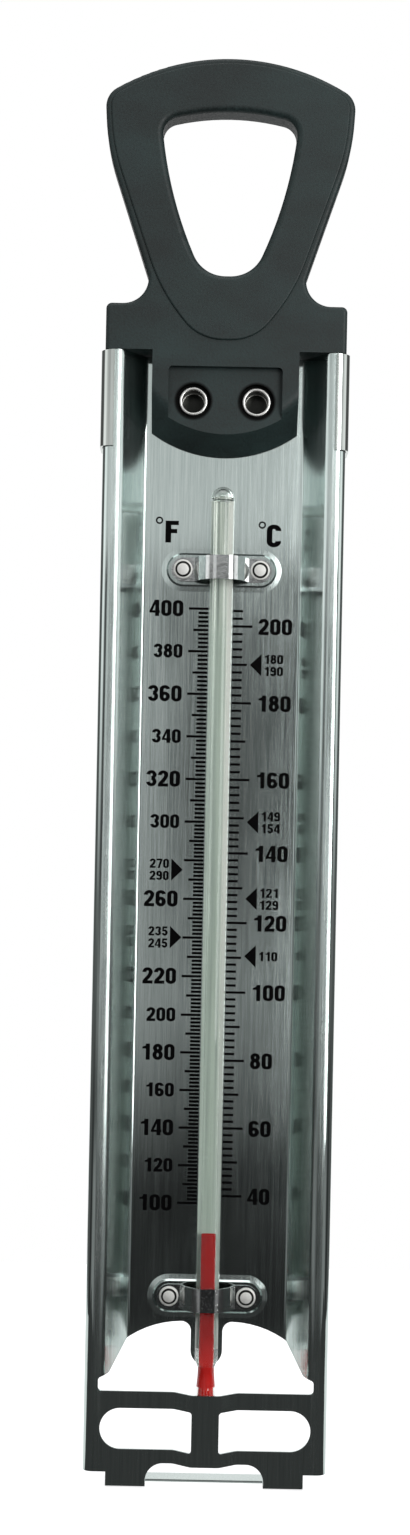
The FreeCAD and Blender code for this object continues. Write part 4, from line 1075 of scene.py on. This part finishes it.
def studio_world():
    """A white backdrop behind, and a studio in front that is dark low down and bright overhead."""
    world = bpy.data.worlds.new("studio")
    bpy.context.scene.world = world
    world.use_nodes = True
    world.cycles.sampling_method = "NONE"
    tree = world.node_tree
    tree.nodes.clear()
    way = add_node(tree, "ShaderNodeTexCoord")
    way = add_node(tree, "ShaderNodeSeparateXYZ", {"Vector": (way, "Generated")})
    height = add_node(tree, "ShaderNodeMath", {0: (way, "Z"), 1: 0.5, 2: 0.5}, operation="MULTIPLY_ADD")

    # The room, as seen straight in front and, from about 50 degrees to either side, off its long walls.
    front = set_stops(add_node(tree, "ShaderNodeValToRGB", {"Fac": height}), by_sine(STUDIO_FRONT))
    sides = set_stops(add_node(tree, "ShaderNodeValToRGB", {"Fac": height}), by_sine(STUDIO_SIDES))
    card = set_stops(add_node(tree, "ShaderNodeValToRGB", {"Fac": height}), by_sine(STUDIO_CARD))
    across = add_node(tree, "ShaderNodeMath", {0: (way, "X")}, operation="ABSOLUTE")
    at_sides = add_node(
        tree,
        "ShaderNodeMapRange",
        {"Value": across, "From Min": 0.75, "From Max": 0.95},
        interpolation_type="SMOOTHSTEP",
    )
    seen = add_node(tree, "ShaderNodeMix", {0: at_sides, 6: front, 7: sides}, data_type="RGBA")
    # The card starts a little to the left of the camera, with a soft edge at either side.
    right_edge = add_node(
        tree,
        "ShaderNodeMapRange",
        {"Value": (way, "X"), "From Min": -0.1, "From Max": -0.16},
        interpolation_type="SMOOTHSTEP",
    )
    left_edge = add_node(
        tree,
        "ShaderNodeMapRange",
        {"Value": (way, "X"), "From Min": -0.5, "From Max": -0.42},
        interpolation_type="SMOOTHSTEP",
    )
    on_card = add_node(tree, "ShaderNodeMath", {0: right_edge, 1: left_edge}, operation="MULTIPLY")
    seen = add_node(tree, "ShaderNodeMix", {0: on_card, 6: (seen, 2), 7: card}, data_type="RGBA")
    # A pale card lies low at either side, and lights the lower ends of the rims.
    near_side = add_node(tree, "ShaderNodeMapRange", {"Value": across, "From Min": 0.25, "From Max": 0.45})
    far_side = add_node(tree, "ShaderNodeMapRange", {"Value": across, "From Min": 0.92, "From Max": 0.8})
    low_down = add_node(
        tree, "ShaderNodeMapRange", {"Value": (way, "Z"), "From Min": -0.1, "From Max": -0.14}
    )
    low_card = add_node(tree, "ShaderNodeMath", {0: near_side, 1: far_side}, operation="MULTIPLY")
    low_card = add_node(tree, "ShaderNodeMath", {0: low_card, 1: low_down}, operation="MULTIPLY")
    seen = add_node(tree, "ShaderNodeMix", {0: low_card, 6: (seen, 2), 7: level(0.28)}, data_type="RGBA")
    # Beside and just behind the thermometer lies the dark part of the room, and then the white backdrop.
    beside = add_node(
        tree,
        "ShaderNodeMapRange",
        {"Value": (way, "Y"), "From Min": -0.1, "From Max": 0.15},
        interpolation_type="SMOOTHSTEP",
    )
    seen = add_node(tree, "ShaderNodeMix", {0: beside, 6: (seen, 2), 7: level(0.11)}, data_type="RGBA")
    behind = add_node(
        tree,
        "ShaderNodeMapRange",
        {"Value": (way, "Y"), "From Min": 0.75, "From Max": 0.9},
        interpolation_type="SMOOTHSTEP",
    )
    seen = add_node(tree, "ShaderNodeMix", {0: behind, 6: (seen, 2), 7: level(1.0)}, data_type="RGBA")
    # The camera sees white all round. Light that has been through the glass meets white only behind it;
    # when it comes back out at the front it meets the studio, as light off the steel does.
    rays = add_node(tree, "ShaderNodeLightPath")
    white = add_node(tree, "ShaderNodeBackground", {"Color": level(1.0), "Strength": 1.0})
    mirrored = add_node(tree, "ShaderNodeBackground", {"Color": (seen, 2), "Strength": 1.0})
    soft = add_node(tree, "ShaderNodeBackground", {"Color": linear("#f2f5f8"), "Strength": 0.5})
    sharp = add_node(
        tree,
        "ShaderNodeMath",
        {0: (rays, "Is Glossy Ray"), 1: (rays, "Is Transmission Ray")},
        operation="MAXIMUM",
    )
    shown = add_node(tree, "ShaderNodeMixShader", {0: sharp, 1: soft, 2: mirrored})
    backwards = add_node(tree, "ShaderNodeMath", {0: (way, "Y"), 1: 0.0}, operation="GREATER_THAN")
    through = add_node(
        tree, "ShaderNodeMath", {0: (rays, "Is Transmission Ray"), 1: backwards}, operation="MULTIPLY"
    )
    direct = add_node(tree, "ShaderNodeMath", {0: (rays, "Is Camera Ray"), 1: through}, operation="MAXIMUM")
    shown = add_node(tree, "ShaderNodeMixShader", {0: direct, 1: shown, 2: white})
    add_node(tree, "ShaderNodeOutputWorld", {"Surface": shown})


def softbox(name, place, aim, width, height, power):
    """A rectangular soft light that faces the point it is aimed at."""
    light = bpy.data.lights.new(name, "AREA")
    light.shape = "RECTANGLE"
    light.size, light.size_y = width, height
    light.energy = power
    lamp = bpy.data.objects.new(name, light)
    lamp.location = place
    lamp.rotation_euler = (Vector(aim) - Vector(place)).to_track_quat("-Z", "Y").to_euler()
    bpy.context.scene.collection.objects.link(lamp)


def studio_lamps():
    """A tall key light to the right of the camera and a wide light overhead."""
    middle = (0, 0, 0.15)
    softbox("key_softbox", (0.42, -0.68, 0.28), middle, width=0.34, height=0.62, power=2.8)
    softbox("top_softbox", (0, -0.25, 0.95), middle, width=0.7, height=0.5, power=1.9)


# The distance is from the fronts of the rims. Distances are in metres, the lens in millimetres and the
# roll in degrees.
CAMERA_DISTANCE = 0.45
CAMERA_HEIGHT = 0.1301
CAMERA_ACROSS = -0.0033
CAMERA_LENS = 49.6
CAMERA_ROLL = 1.13
CAMERA_SHIFT = (0.0031, 0.0713)


def studio_camera():
    """A camera straight in front, rolled a little."""
    data = bpy.data.cameras.new("camera")
    data.lens = CAMERA_LENS
    data.shift_x, data.shift_y = CAMERA_SHIFT
    data.clip_start, data.clip_end = 0.01, 20
    camera = bpy.data.objects.new("camera", data)
    rims = first_surface("paddle_body", 23.45 * MM, 120 * MM)
    upright = Matrix.Rotation(math.radians(90), 4, "X")
    roll = Matrix.Rotation(math.radians(CAMERA_ROLL), 4, "Z")
    place = Matrix.Translation((CAMERA_ACROSS, rims - CAMERA_DISTANCE, CAMERA_HEIGHT))
    camera.matrix_world = place @ upright @ roll
    bpy.context.scene.collection.objects.link(camera)
    bpy.context.scene.camera = camera


# ---------------------------------------------------------------- put together


def give_finish(material, *nodes):
    """Gives CAD nodes a material."""
    for name in nodes:
        mesh = NODES[name].data
        mesh.materials.clear()
        mesh.materials.append(material)


sheet_steel = brushed_stainless_sheet(
    "brushed_stainless_sheet", streak=0.004, wave=0.08, rough=0.11, scuff=1.7, tint="#b9c6c3", glare="#d3dedb"
)
clip_steel = brushed_stainless_sheet(
    "bright_rolled_stainless", streak=0.002, wave=0.04, rough=0.12, scuff=1.0, tint="#bac1bd", glare="#d3d8d4"
)
strap_steel = tumbled_bright_steel("tumbled_bright_strap", rough=0.1, tint="#c2c6c6", glare="#dcdfde")
strap_rivet_width = width_in_mm("upper_strap_rivet_left")
strap_rivets = headed_aluminium(
    "headed_strap_rivets", strap_rivet_width, shade_from=1.3, shade_to=1.75, dome=0.06, rough=0.5
)
handle_rivet_width = width_in_mm("handle_rivet_left")
handle_rivets = headed_aluminium(
    "hollow_handle_rivets", handle_rivet_width, shade_from=0, shade_to=2.4, dome=0.02, rough=0.24
)
ink = screen_printed_ink("baked_black_ink")
spirit = dyed_spirit("red_dyed_spirit")

give_finish(sheet_steel, "paddle_body")
give_finish(clip_steel, "pan_clip")
give_finish(strap_steel, "upper_strap", "lower_strap")
give_finish(strap_rivets, *[name for name in NODES if "strap_rivet" in name])
give_finish(handle_rivets, "handle_rivet_left", "handle_rivet_right")
give_finish(spark_textured_nylon("spark_textured_black_nylon"), "handle")
give_finish(fired_enamel("fired_milk_enamel"), "tube_backing")
give_finish(spirit, "bulb_liquid")

tube_of_glass(drawn_glass("drawn_borosilicate_glass"))
spirit_column(spirit)
scale_ticks(ink)
scale_numbers(ink)
unit_signs(ink)
zone_marks(ink)

white_floor()
studio_world()
studio_lamps()
studio_camera()

bpy.context.scene.view_settings.view_transform = "Standard"
